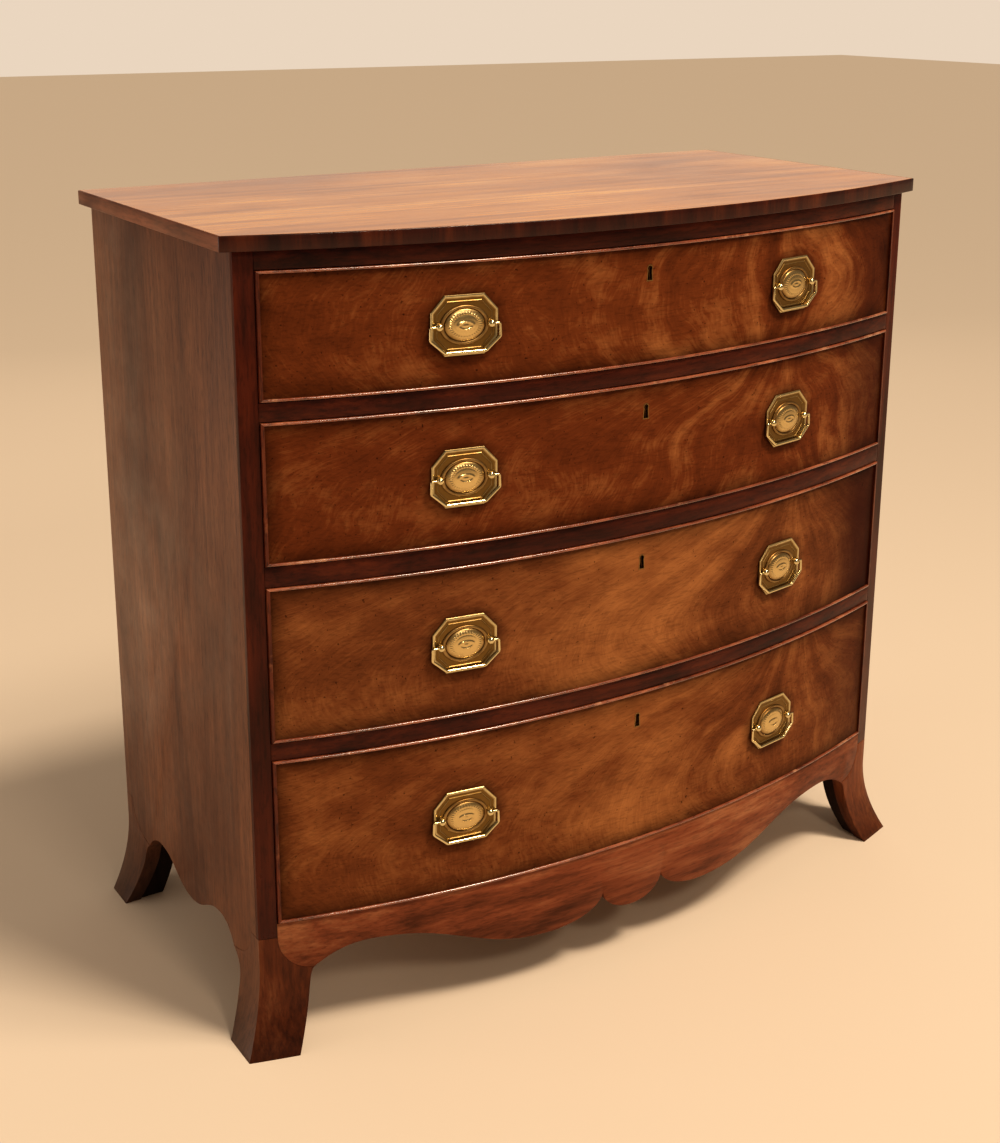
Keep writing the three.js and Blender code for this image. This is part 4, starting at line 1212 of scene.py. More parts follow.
@dataclass
class Feet:
    """Four bracket feet that curve outwards as they come down."""

    front: Foot = Foot(
        "front", "front_wing", -0.180, 1, 0.025, Wing(0.060, 0.060, 0.065), Wing(0.056, 0.056, 0.079),
        (-0.30, -0.158), 8,
    )
    rear: Foot = Foot(
        "rear", "bracket", 0.272, -1, 0.0, Wing(0.058, 0.062, 0.070), Wing(0.050, 0.070, 0.083),
        (0.250, 0.277), 1,
    )
    half_width: float = 0.512
    thickness: float = 0.022
    top: float = 0.148
    joint_height: float = 0.100
    waist_height: float = 0.070
    waist_steps: int = 12
    splay_height: float = 0.112
    sideways: float = 0.029
    levels: int = 30
    front_arris: float = 0.0004
    rear_arris: float = 0.0006
    block: float = 0.026
    block_seam: float = 0.0997
    block_high: float = 0.1527
    block_setback: float = 0.001
    block_steps: int = 6
    block_arris: float = 0.0012
    head_arris: float = 0.0015

    @property
    def inner(self) -> float:
        """Distance from the middle of the chest to the inside of a side wing."""
        return self.half_width - self.thickness

    def share(self, z: float) -> float:
        """How far the splay has gone at a height: 0 above it, 1 on the floor."""
        return max(0.0, 1 - z / self.splay_height) ** 2

    def joint_line(self, wing: Wing, clearance: float) -> list[Point]:
        """The curved joint between a wing and the board above it.

        Args:
            wing: The wing.
            clearance: Gap left in the joint.

        Returns:
            Points from the free edge up to the corner, as distance from the corner and height.
        """
        reach = wing.joint - self.thickness - clearance
        rise = self.top - self.joint_height - clearance
        return Outline().ellipse((wing.joint, self.top), (reach, rise), 3, 2).points

    def face(self, wing: Wing, splay: float) -> list[Point]:
        """Outline of a wing's face, moved outwards by the splay.

        Args:
            wing: The wing.
            splay: How far it moves on the floor.

        Returns:
            A closed outline that runs past the corner and below the floor.
        """
        shares = [step / self.waist_steps for step in range(self.waist_steps + 1)]
        taper = wing.waist - wing.floor
        start = [(wing.floor + s * taper, s * self.waist_height) for s in shares]
        line = Outline(start, self.waist_steps)
        middle = self.joint_height - (wing.joint - wing.waist) / 2
        line.curve((wing.waist, middle), (wing.joint, self.joint_height))
        line.to(*self.joint_line(wing, 0)[1:])
        moved = [(u - splay * self.share(z), z) for u, z in line.points]
        moved += [(-splay - OVER, self.top), (-splay - OVER, -OVER), (moved[0][0], -OVER)]
        return Outline(moved).clean()

    def splayed(self, name: str, plan: Sequence[Point], side: Side, forwards: float) -> Piece:
        """Raises an angle section from the floor and bends it outwards.

        Args:
            name: The piece's name.
            plan: The section, on the right side of the chest.
            side: The side that the foot is on.
            forwards: Splay towards the front.

        Returns:
            The bent angle.
        """
        piece = prism(name, [(side.value * x, y) for x, y in plan], Facing.PLAN, 0, self.top)
        with editing(piece):
            for level in range(1, self.levels):
                bpy.ops.mesh.select_all(action="SELECT")
                height = self.top * level / self.levels
                bpy.ops.mesh.bisect(plane_co=(0, 0, height), plane_no=(0, 0, 1))
        for vertex in piece.data.vertices:
            share = self.share(vertex.co.z)
            vertex.co.x += side.value * self.sideways * share
            vertex.co.y -= forwards * share
        piece.data.update()
        return piece

    def bracket(self, name: str, foot: Foot, side: Side) -> Piece:
        """Bends a foot's angle section and trims it to the outlines of both wings.

        Args:
            name: The foot's name.
            foot: The foot.
            side: Left or right.

        Returns:
            The foot without its block.
        """
        s = side.value
        free = self.half_width - foot.across.joint
        end = foot.corner + foot.inwards * foot.along.joint
        plan = []
        for start, stop, inset in ((self.half_width, free, 0.0), (free, self.inner, self.thickness)):
            xs = [start + (stop - start) * i / foot.steps for i in range(foot.steps + 1)]
            plan += [(x, foot.face(x, inset)) for x in xs]
        plan += [(self.inner, end), (self.half_width, end)]
        piece = self.splayed(f"{name}_{foot.piece}", plan, side, foot.forwards)
        across = [(s * (self.half_width - u), z) for u, z in self.face(foot.across, self.sideways)]
        along = [(foot.corner + foot.inwards * u, z) for u, z in self.face(foot.along, foot.forwards)]
        mask = prism("across", across, Facing.FRONT, *foot.depths)
        far = s * (self.half_width + self.sideways + OVER)
        combine(mask, prism("along", along, Facing.SIDE, s * self.inner, far), "UNION")
        combine(piece, mask, "INTERSECT")
        face_outwards(piece)
        return piece

    def front_foot(self, side: Side) -> None:
        """Builds a front foot from two wings that meet in a mitre.

        Args:
            side: Left or right.
        """
        foot, name = self.front, f"front_foot_{side.word}"
        front = self.bracket(name, foot, side)
        wing = copy_of(front, f"{name}_side_wing", Matrix())
        corner = (side.value * self.half_width, foot.corner, 0)
        mitre = Vector((side.value * foot.forwards, self.sideways, 0))
        saw(front, corner, mitre)
        saw(wing, corner, -mitre)
        for piece in (front, wing):
            soften(piece, self.front_arris, CURVED)
        # The right foot takes a lighter copy of the finish: painted light from the right.
        finish = FOOT_WOOD if side is Side.LEFT else FOOT_WOOD_PAINTED_LIT
        fit(front, "carcass", finish, [name])
        fit(wing, "carcass", SIDE_WOOD)
        self.glue_block(name, foot, side)

    def rear_foot(self, side: Side) -> None:
        """Builds a rear foot.

        Args:
            side: Left or right.
        """
        name = f"rear_foot_{side.word}"
        piece = self.bracket(name, self.rear, side)
        soften(piece, self.rear_arris, CURVED)
        fit(piece, "carcass", SIDE_WOOD, [name])
        self.glue_block(name, self.rear, side)

    def glue_block(self, name: str, foot: Foot, side: Side) -> None:
        """Sets the glue block into the corner of a foot: a curved part below and a plain head.

        Args:
            name: The foot's name.
            foot: The foot.
            side: Left or right.
        """
        inner, steps = self.inner, self.block_steps
        free = self.half_width - foot.across.floor + self.block_setback
        across = [free + (inner - free) * i / steps for i in range(steps + 1)]
        far = foot.face(free, self.thickness) + foot.inwards * self.block
        plan = [(x, foot.face(x, self.thickness)) for x in across] + [(inner, far), (free, far)]
        piece = self.splayed(f"{name}_glue_block", plan, side, foot.forwards)
        saw(piece, (0, 0, self.block_seam), (0, 0, 1))
        face_outwards(piece)
        soften(piece, self.block_arris, CURVED)
        # Nearly black: painted shade inside the foot.
        fit(piece, "carcass", BLOCK_WOOD_PAINTED_SHADE)
        near = foot.corner + foot.inwards * self.thickness
        xs = sorted((side.value * inner, side.value * (inner - self.block)))
        ys = sorted((near, near + foot.inwards * self.block))
        low, high = (xs[0], ys[0], self.block_seam), (xs[1], ys[1], self.block_high)
        head = block(f"{name}_block_head", low, high)
        soften(head, self.head_arris)
        # The head gets the same painted shade.
        fit(head, "carcass", BLOCK_WOOD_PAINTED_SHADE)

    def build(self) -> None:
        """Builds all four feet."""
        for side in Side:
            self.front_foot(side)
            self.rear_foot(side)


@dataclass
class Sides:
    """The two sides with their shaped lower edges, and the stiles on their front edges."""

    feet: Feet
    stile: float = 0.006
    top: float = 0.9977
    foot_top: float = 0.1483
    front_arch: float = 0.117
    back_arch: float = 0.132
    arch_height: float = 0.125
    drop_height: float = 0.095
    shoulder: float = 0.4
    ease: float = 0.45
    front_long: float = -0.21
    rebate: float = 0.010
    rebate_span: Point = (0.14, 1.0)
    arris: float = 0.0005

    def outline(self) -> list[Point]:
        """Outline of a side, seen from the side.

        Returns:
            Its corners, with the front end left long.
        """
        front, rear = self.feet.front, self.feet.rear
        back_joint = rear.corner - rear.along.joint
        back_arch = rear.corner - self.back_arch
        front_arch = front.corner + self.front_arch
        front_joint = front.corner + front.along.joint
        middle = (back_arch + front_arch) / 2
        ease = self.ease * (back_arch - middle)
        low, high = self.drop_height, self.arch_height
        joint_z = self.feet.joint_height + FIT
        back_line = [(rear.corner - u, z) for u, z in self.feet.joint_line(rear.along, FIT)]
        front_line = [(front.corner + u, z) for u, z in self.feet.joint_line(front.along, FIT)]
        line = Outline([(rear.corner, self.top), (rear.corner, self.foot_top)])
        line.to((back_line[-1][0], self.foot_top), *reversed(back_line))
        line.to((back_joint, joint_z))
        line.curve((back_joint + self.shoulder * (back_arch - back_joint), high), (back_arch, high))
        line.curve((back_arch - ease, high), (middle + ease, low), (middle, low))
        line.curve((middle - ease, low), (front_arch + ease, high), (front_arch, high))
        bend = front_joint + self.shoulder * (front_arch - front_joint)
        line.curve((bend, high), (front_joint, joint_z))
        line.to(*front_line, (front_line[-1][0], self.foot_top))
        line.to((self.front_long, self.foot_top), (self.front_long, self.top))
        return line.clean()

    def build(self) -> None:
        """Builds both sides and both stiles."""
        inner, outer = self.feet.inner, self.feet.half_width
        inset = self.stile + FIT
        slope = BOW.y(outer, inset) - BOW.y(inner, inset)
        back = self.feet.rear.corner
        low, high = self.rebate_span
        for side in Side:
            s = side.value
            board = prism(f"side_{side.word}_board", self.outline(), Facing.SIDE, s * inner, s * outer)
            saw(board, (s * inner, BOW.y(inner, inset), 0), (s * slope, inner - outer, 0))
            xs = sorted((s * (inner - OVER), s * (inner + self.rebate)))
            groove = block("rebate", (xs[0], back - self.rebate - FIT, low), (xs[1], back + OVER, high))
            combine(board, groove, "DIFFERENCE")
            soften(board, self.arris, CURVED)
            fit(board, "carcass", SIDE_WOOD, [f"side_{side.word}"])
            ends = tuple(sorted((s * inner, s * outer)))
            strip = BOW.board(f"stile_{side.word}_facing", 0, self.stile, self.foot_top, self.top, ends)
            soften(strip, self.arris)
            fit(strip, "carcass", STILE_WOOD, [f"stile_{side.word}"])


@dataclass
class Apron:
    """The shaped board under the drawers, with its pendant, cusps and lobes."""

    feet: Feet
    reach: float = 0.4897
    thickness: float = 0.022
    top: float = 0.167
    pendant: float = 0.073
    cusp: Point = (0.049, 0.107)
    lobe: Point = (0.130, 0.0715)
    arch: Point = (0.378, 0.125)
    shoulder: float = 0.54
    ease: float = 0.45
    edge_steps: int = 20
    blank: Point = (0.066, 0.172)
    depths: Point = (-0.30, -0.12)
    arris: float = 0.0006

    @property
    def joint(self) -> float:
        """Distance from the middle of the chest to the joint with a foot."""
        return self.feet.half_width - self.feet.front.across.joint

    def half_edge(self) -> list[Point]:
        """Right half of the lower edge.

        Returns:
            Points from the middle to the joint with the foot.
        """
        ease = self.ease * (self.arch[0] - self.lobe[0])
        line = Outline(steps=self.edge_steps)
        line.ellipse((0, self.cusp[1]), (self.cusp[0], self.cusp[1] - self.pendant), -1, 0)
        lobe_reach = (self.lobe[0] - self.cusp[0], self.cusp[1] - self.lobe[1])
        line.ellipse((self.lobe[0], self.cusp[1]), lobe_reach, 2, 3)
        line.curve((self.lobe[0] + ease, self.lobe[1]), (self.arch[0] - ease, self.arch[1]), self.arch)
        bend = self.arch[0] + self.shoulder * (self.joint - self.arch[0])
        line.curve((bend, self.arch[1]), (self.joint, self.feet.joint_height + FIT))
        return line.points

    def build(self) -> None:
        """Builds the apron."""
        feet, (low, high) = self.feet, self.blank
        board = BOW.board("apron_board", 0, self.thickness, low, self.top, (-self.reach, self.reach))
        joint = [(feet.half_width - u, z) for u, z in feet.joint_line(feet.front.across, FIT)]
        half = self.half_edge()[:-1] + joint + [(self.reach + OVER, feet.top), (self.reach + OVER, high)]
        other = [(-x, z) for x, z in reversed(half[1:])]
        shape = prism("apron_outline", Outline(half + other).clean(), Facing.FRONT, *self.depths)
        combine(board, shape, "INTERSECT")
        face_outwards(board)
        soften(board, self.arris, CURVED)
        fit(board, "carcass", APRON_WOOD, ["apron"])


@dataclass
class Rails:
    """The top rail and the dividers: rails, dust boards, runners and drawer stops."""

    reach: float = 0.4897
    depth: float = 0.060
    back: float = 0.2617
    runner: float = 0.030
    dust_thickness: float = 0.009
    dust_drop: float = 0.007
    stop_place: float = 0.210
    stop_size: Place = (0.040, 0.016, 0.004)
    front_thickness: float = 0.022
    bolt_y: float = -0.24442
    mortise: Place = (0.024, 0.007, 0.009)
    levels: tuple[Point, ...] = ((0.803, 0.825), (0.605, 0.630), (0.386, 0.408))
    top_rail: Point = (0.976, 0.9977)
    rail_arris: float = 0.0004
    stop_arris: float = 0.0008
    runner_arris: float = 0.0006

    def rail(self, name: str, low: float, high: float) -> Piece:
        """Makes a bowed rail with the slot for the lock bolt below it.

        Args:
            name: The piece's name.
            low: Height of its underside.
            high: Height of its top.

        Returns:
            The rail.
        """
        piece = BOW.board(name, 0, self.depth, low, high, (-self.reach, self.reach))
        soften(piece, self.rail_arris)
        width, thickness, height = self.mortise
        front, back = self.bolt_y - thickness / 2, self.bolt_y + thickness / 2
        slot = block("mortise", (-width / 2, front, low - OVER), (width / 2, back, low + height))
        combine(piece, slot, "DIFFERENCE")
        return piece

    def stops(self, name: str, level: float) -> None:
        """Glues two drawer stops to the board below a drawer.

        Args:
            name: The divider's name.
            level: Height that they stand on.
        """
        width, depth, height = self.stop_size
        face = BOW.y(self.stop_place + width / 2, self.front_thickness + FIT)
        for side in Side:
            middle = side.value * self.stop_place
            low = (middle - width / 2, face, level)
            high = (middle + width / 2, face + depth, level + height)
            piece = block(f"{name}_stop_{side.word}", low, high)
            soften(piece, self.stop_arris)
            fit(piece, "carcass", LINING_ACROSS)

    def build(self) -> None:
        """Builds the top rail and the three dividers."""
        rail = self.rail("top_rail_board", *self.top_rail)
        fit(rail, "carcass", RAIL_WOOD, ["top_rail"])
        inner = self.reach - self.runner
        for number, (low, high) in enumerate(self.levels, 1):
            name = f"divider_{number}"
            rail = self.rail(f"{name}_rail", low, high)
            fit(rail, "carcass", RAIL_WOOD, [name])
            upper = high - self.dust_drop
            lower = upper - self.dust_thickness
            dust = BOW.shelf(f"{name}_dust_board", self.depth, self.back, lower, upper, (-inner, inner))
            smooth(dust)
            fit(dust, "carcass", LINING_ACROSS)
            for side in Side:
                ends = tuple(sorted((side.value * inner, side.value * self.reach)))
                runner = BOW.shelf(f"{name}_runner_{side.word}", self.depth, self.back, low, high, ends)
                soften(runner, self.runner_arris)
                fit(runner, "carcass", LINING_OAK)
            self.stops(name, high)


@dataclass
class Backboards:
    """The back: upright boards in the rebates of the sides, close joint by joint."""

    reach: float = 0.4997
    near: float = 0.262
    far: float = 0.272
    low: float = 0.1483
    high: float = 0.9977
    count: int = 8
    gap: float = 0.0008
    arris: float = 0.0012

    def build(self) -> None:
        """Builds the boards."""
        width = 2 * self.reach / self.count
        for i in range(self.count):
            left = -self.reach + i * width + self.gap / 2
            right = left + width - self.gap
            low, high = (left, self.near, self.low), (right, self.far, self.high)
            board = block(f"back_board_{i + 1}", low, high)
            soften(board, self.arris)
            fit(board, "carcass", BACK_PINE, ["back_panel"] if i == 0 else [])


@dataclass
class Carcass:
    """The fixed case of the chest."""

    feet: Feet = field(default_factory=Feet)

    def build(self) -> None:
        """Builds every piece of the case."""
        TopBoard().build()
        Sides(self.feet).build()
        Apron(self.feet).build()
        self.feet.build()
        Rails().build()
        Backboards().build()
        dress_node("bottom_board", LINING_ACROSS)


# ---------------------------------------------------------------- handles


def swell(at: float, middle: float, width: float) -> float:
    """A smooth hump: 1 in its middle and next to nothing two widths away."""
    return math.exp(-(((at - middle) / width) ** 2))


@dataclass
class Handle:
    """A stamped octagonal plate, two ball headed posts and a hanging bail.

    It is modelled once round the middle of the plate: x along the drawer, -y out of it, z up.
    """

    width: float = 0.085
    height: float = 0.072
    top_edge: float = 0.050
    side_edge: float = 0.0335
    seat: float = -0.0003
    thickness: float = 0.0010
    blank: float = 0.0012
    rim_top: float = 0.0028
    frontal: float = -0.9
    # Width and depth of each step from the edge inwards: rounded edge, groove and inner line.
    rim: tuple[Point, ...] = (
        (0.0006, 0.0008), (0.0012, 0.0003), (0.0026, -0.0009), (0.0006, -0.0004), (0.0022, 0.0),
        (0.0006, 0.0005), (0.0008, 0.0), (0.0006, -0.0006),
    )
    ring: Point = (0.062, 0.047)
    ring_width: float = 0.0055
    ring_rise: float = 0.0014
    ring_steps: int = 8
    sunk: float = 0.0004
    ledge: float = 0.0009
    dome_rise: float = 0.0056
    dome_top: float = 0.0060
    dome_steps: int = 36
    dome_facets: int = 204
    relief_start: float = 0.0012
    flutes: int = 34
    # Middle and width as shares of the dome, and height, of the beads, their groove and the eye.
    bead_ring: Place = (0.76, 0.085, 0.00026)
    groove_ring: Place = (0.63, 0.035, 0.00022)
    eye_ring: Place = (0.86, 0.16, 0.0009)
    pupil: Place = (0.0, 0.30, 0.0006)
    boss: Point = (0.0108, 0.0050)
    spacing: float = 0.065
    standoff: float = 0.005
    ball: float = 0.005
    ball_steps: int = 13
    ball_step: float = 10.5
    # Radius and place along Y of the collar under the ball and of the stem.
    collar: tuple[Point, ...] = (
        (0.0036, -0.0016), (0.0044, -0.0013), (0.0044, -0.0004), (0.0026, -0.0004), (0.0026, 0.0269),
        (0.0, 0.0269),
    )
    post_facets: int = 28
    nut_radius: float = 0.0065
    nut: Point = (0.0229, 0.0269)
    nut_arris: float = 0.0004
    span: float = 0.088
    straight: float = 0.0155
    drop: float = 0.0315
    grip: float = 0.051
    pin: float = 0.0036
    lean: float = 0.0004
    radii: tuple[float, ...] = (0.0014, 0.0016, 0.0019, 0.0022)
    turn: float = 0.0016
    turn_steps: int = 3

    def octagon(self) -> list[Point]:
        """The plate's eight corners."""
        x, z, tx, sz = self.width / 2, self.height / 2, self.top_edge / 2, self.side_edge / 2
        return [(tx, z), (x, sz), (x, -sz), (tx, -z), (-tx, -z), (-x, -sz), (-x, sz), (-tx, z)]

    def plate(self) -> Piece:
        """Stamps the octagonal plate with its stepped rim.

        Returns:
            The plate, round the origin.
        """
        face = self.seat - self.blank
        piece = prism("plate", self.octagon(), Facing.FRONT, self.seat, face)
        with editing(piece):
            pick(piece, "faces", lambda normal: normal.y < self.frontal)
            for thickness, depth in self.rim:
                bpy.ops.mesh.inset(thickness=thickness, depth=depth)
        smooth(piece, degrees=25)
        rub(piece, hollow=face, raised=self.seat - self.rim_top)
        return piece

    def dome(self) -> Piece:
        """Stamps the oval ring, the fluted dome and the boss in its middle.

        Returns:
            The dome, round the origin.
        """
        half, bulge = self.ring[0] / 2, self.ring_width / 2
        base = self.seat - self.thickness + self.sunk
        valley = half - self.ring_width
        profile = [(0.0, base), (half, base)]
        for step in range(self.ring_steps + 1):
            angle = math.pi * step / self.ring_steps
            rise = self.ledge + self.ring_rise * math.sin(angle)
            profile.append((half - bulge + bulge * math.cos(angle), base - rise))
        for step in range(1, self.dome_steps):
            angle = math.pi / 2 * step / self.dome_steps
            rise = self.ledge + (self.dome_rise - self.ledge) * math.sin(angle)
            profile.append((valley * math.cos(angle), base - rise))
        profile.append((0.0, base - self.dome_rise))
        piece = turned("dome", profile, self.dome_facets)
        squeeze = self.ring[1] / self.ring[0]
        for vertex in piece.data.vertices:
            x, y, z = vertex.co
            vertex.co.z = z * squeeze
            if y <= base - self.relief_start:
                vertex.co.y -= self.relief(x, z, vertex.co.z, valley)
        piece.data.update()
        smooth(piece, degrees=50)
        rub(piece, hollow=base - self.ledge, raised=base - self.dome_top)
        return piece

    def relief(self, x: float, z: float, low_z: float, valley: float) -> float:
        """Height of the stamped relief at a point of the dome.

        Args:
            x: The point's place across.
            z: Its height on the round dome.
            low_z: Its height on the oval dome.
            valley: Radius of the round dome.

        Returns:
            How far the relief stands out.
        """
        radius = math.hypot(x, z) / valley
        waves = 1 + math.cos(self.flutes * math.atan2(z, x))
        eye = math.hypot(x / self.boss[0], low_z / self.boss[1])
        layers = (
            (radius, self.bead_ring, waves), (radius, self.groove_ring, -1),
            (eye, self.eye_ring, 1), (eye, self.pupil, 1),
        )
        return sum(
            share * depth * swell(at, middle, width) for at, (middle, width, depth), share in layers
        )

    def post(self, side: Side) -> Piece:
        """Turns a ball headed post and adds its nut.

        Args:
            side: Left or right end of the plate.

        Returns:
            The post, in its place on the plate.
        """
        profile = [(0.0, -self.standoff - self.ball)]
        for step in range(1, self.ball_steps + 1):
            angle = math.radians(90 - step * self.ball_step)
            profile.append((self.ball * math.cos(angle), -self.standoff - self.ball * math.sin(angle)))
        stem = turned(f"post_{side.word}", [*profile, *self.collar], self.post_facets)
        angles = [math.pi / 3 * corner for corner in range(6)]
        hexagon = [(self.nut_radius * math.cos(a), self.nut_radius * math.sin(a)) for a in angles]
        nut = prism("nut", hexagon, Facing.FRONT, *self.nut)
        soften(nut, self.nut_arris, degrees=20)
        whole = joined(f"post_{side.word}", [stem, nut])
        whole.location.x = side.value * self.spacing / 2
        freeze(whole)
        smooth(whole, degrees=40)
        rub(whole, hollow=-0.0006, raised=-0.004)
        return whole

    def path(self) -> list[Place]:
        """The bail's middle line with rounded corners.

        Returns:
            Place across, height and radius of the bar, from one end to the other.
        """
        half, pin_end = self.span / 2, self.spacing / 2 + self.ball - self.pin
        right = [(pin_end, 0.0), (half - self.lean, 0.0)]
        right += [(half, -self.straight), (self.grip / 2, -self.drop)]
        corners = [Vector(corner) for corner in right + [(-x, z) for x, z in reversed(right)]]
        radii = [*self.radii, *reversed(self.radii)]
        path = [(*corners[0], radii[0])]
        for a, b, c, radius in zip(corners, corners[1:], corners[2:], radii[1:]):
            start, end = (b + (other - b).normalized() * self.turn for other in (a, c))
            for step in range(self.turn_steps + 1):
                share = step / self.turn_steps
                spot = (1 - share) ** 2 * start + 2 * share * (1 - share) * b + share**2 * end
                path.append((spot.x, spot.y, radius))
        return [*path, (*corners[-1], radii[-1])]

    def bail(self) -> Piece:
        """Bends the bail: two pins, two arms and a thicker grip.

        Returns:
            The bail, hanging round the origin.
        """
        data = bpy.data.curves.new("bail", "CURVE")
        data.dimensions = "3D"
        data.bevel_depth = 1.0
        data.bevel_resolution = 4
        data.use_fill_caps = True
        spline = data.splines.new("POLY")
        path = self.path()
        spline.points.add(len(path) - 1)
        for point, (x, z, radius) in zip(spline.points, path):
            point.co = (x, -self.standoff, z, 1)
            point.radius = radius
        take(add_object("bail", data))
        bpy.ops.object.convert(target="MESH")
        piece = bpy.context.object
        face_outwards(piece)
        smooth(piece, degrees=45)
        rub(piece, hollow=-0.0028, raised=-0.0052)
        return piece


# ---------------------------------------------------------------- drawers


@dataclass
class Drawer:
    """One drawer: its front, cock-beads, linings, lock and two handles."""

    number: int
    low: float
    height: float
    handle_drop: float
    figure: dict[str, float | str]
    reach: float = 0.489
    thickness: float = 0.022
    sheet: float = 0.0012
    bead: float = 0.0036
    proud: float = 0.0026
    seat: float = 0.006
    side_thickness: float = 0.010
    handle_place: float = 0.254
    keyhole_radius: float = 0.0032
    keyhole_waist: float = 0.0025
    keyhole_foot: float = 0.0036
    keyhole_length: float = 0.0146
    thread: float = 0.0016
    lock_back: float = -0.23962
    lock_depth: float = 0.013
    lock_size: Point = (0.070, 0.054)
    eye_drop: float = 0.0293
    eye_slope: float = 0.077
    least_height: float = 0.149
    tail_spare: float = 0.003
    tail_pitch: float = 0.042
    tail_gap: float = 0.009
    tail_flare: float = 0.0026
    lap: float = 0.007
    joint: float = 0.001
    drill: Point = (-0.27, -0.22)
    nose: float = 0.0016
    upright_nose: float = 0.0015
    thread_depth: float = 0.004
    thread_arris: float = 0.0003
    thread_proud: float = 0.0003
    thread_gap: float = 0.0001

    @property
    def high(self) -> float:
        """Height of the drawer's top edge."""
        return self.low + self.height

    @property
    def name(self) -> str:
        """The drawer's name."""
        return f"drawer_{self.number}"

    @property
    def eye(self) -> float:
        """Height of the middle of the keyhole's round end."""
        return self.high - self.eye_drop - self.eye_slope * (self.height - self.least_height)

    @property
    def handle_z(self) -> float:
        """Height of the handles."""
        return (self.low + self.high) / 2 - self.handle_drop

    def keyhole(self, margin: float) -> list[Point]:
        """Outline of the keyhole, grown by a margin.

        Args:
            margin: How far outside the hole the outline runs.

        Returns:
            Its corners, seen from the front.
        """
        radius = self.keyhole_radius + margin
        waist, foot = self.keyhole_waist + margin, self.keyhole_foot + margin
        drop = math.sqrt(radius**2 - waist**2)
        start = math.atan2(-drop, waist) / (math.pi / 2)
        line = Outline(steps=18).ellipse((0, self.eye), (radius, radius), start, 2 - start)
        bottom = self.eye - self.keyhole_length - margin
        line.to((-foot, bottom), (foot, bottom))
        return line.clean()

    def tails(self) -> Piece:
        """The dovetails of both drawer sides, as one tool to cut their sockets with.

        Returns:
            A tool made of closed wedges.
        """
        height = self.height - self.tail_spare
        count = max(2, round(height / self.tail_pitch))
        pitch = height / count
        front = BOW.y(self.reach) + self.lap - FIT
        back = BOW.y(self.reach, self.thickness) + OVER
        narrow = (pitch - self.tail_gap) / 2 + FIT
        wide = narrow + self.tail_flare
        wedges = []
        for i in range(count):
            z = self.low + (i + 0.5) * pitch
            wedge = [(front, z - wide), (back, z - narrow), (back, z + narrow), (front, z + wide)]
            for side in Side:
                near = side.value * (self.reach - self.side_thickness - FIT)
                wedges.append(prism("tail", wedge, Facing.SIDE, near, side.value * (self.reach + OVER)))
        return joined("tails", wedges)

    def veneer(self) -> Veneer:
        """Chooses the veneer for this drawer.

        Returns:
            Flame figured veneer with this drawer's own figure.
        """
        return Veneer(
            f"flame_mahogany_veneer_{self.number}", dark="#2e130a", light="#c28450", span=(0.30, 0.80),
            pore_depth=0.18, roughness=0.30, gloss=0.08, coat=0.008, ior=1.25, low=self.low,
            high=self.high, handle_z=self.handle_z, seed=1.7 * self.number, **self.figure,
        )

    def front(self) -> None:
        """Builds the front board, with its rebates, sockets and holes, and glues the veneer on."""
        ends = (-self.reach, self.reach)
        name = f"{self.name}_front_board"
        board = BOW.board(name, self.seat, self.thickness, self.low, self.high, ends)
        inner = self.reach - self.bead
        low, high = self.low + self.bead, self.high - self.bead
        face = BOW.board("face", self.sheet, self.seat + self.joint, low, high, (-inner, inner))
        combine(board, face, "UNION")
        half, depth = self.lock_size[0] / 2 + FIT, self.lock_depth + FIT
        floor = self.high - self.lock_size[1] - FIT
        corner = (half, self.lock_back + OVER, self.high + OVER)
        combine(board, block("recess", (-half, self.lock_back - depth, floor), corner), "DIFFERENCE")
        combine(board, self.tails(), "DIFFERENCE")
        veneer = BOW.board(f"{self.name}_veneer", 0, self.sheet, low, high, (-inner, inner))
        for piece in (board, veneer):
            hole = prism("hole", self.keyhole(self.thread), Facing.FRONT, *self.drill)
            combine(piece, hole, "DIFFERENCE")
            face_outwards(piece)
            smooth(piece, degrees=25)
        fit(board, self.name, LINING_ACROSS, [f"{self.name}_front"])
        fit(veneer, self.name, self.veneer())

    def beads(self) -> None:
        """Lays the four cock-beads round the front, mitred at the corners."""
        ends = (-self.reach, self.reach)
        corner = {"bottom": (self.low, 1.0), "top": (self.high, -1.0)}
        for word, (z, up) in corner.items():
            low, high = sorted((z, z + up * self.bead))
            name = f"{self.name}_bead_{word}"
            strip = BOW.board(name, -self.proud, self.seat, low, high, ends, self.nose)
            for side in Side:
                saw(strip, (side.value * self.reach, 0, z), (side.value, 0, up))
            smooth(strip, degrees=35)
            fit(strip, self.name, BEAD_WOOD_PAINTED_HIGHLIGHT)
        for side in Side:
            s = side.value
            ends = tuple(sorted((s * (self.reach - self.bead), s * self.reach)))
            name = f"{self.name}_bead_{side.word}"
            strip = BOW.board(name, -self.proud, self.seat, self.low, self.high, ends)
            soften(strip, self.upright_nose, BENT, 4)
            for z, up in corner.values():
                saw(strip, (s * self.reach, 0, z), (-s, 0, -up))
            smooth(strip, degrees=35)
            fit(strip, self.name, BEAD_UPRIGHT)

    def escutcheon(self) -> None:
        """Lets the thread escutcheon into the keyhole."""
        face = BOW.y(0) - self.thread_proud
        edge = self.keyhole(self.thread - self.thread_gap)
        rim = prism(f"{self.name}_escutcheon", edge, Facing.FRONT, face, face + self.thread_depth)
        hole = prism("hole", self.keyhole(0), Facing.FRONT, face - 2 * OVER, face + 4 * OVER)
        combine(rim, hole, "DIFFERENCE")
        soften(rim, self.thread_arris, CURVED)
        rub(rim, hollow=face + 0.002, raised=face + 0.0002)
        fit(rim, self.name, DULL_BRASS)

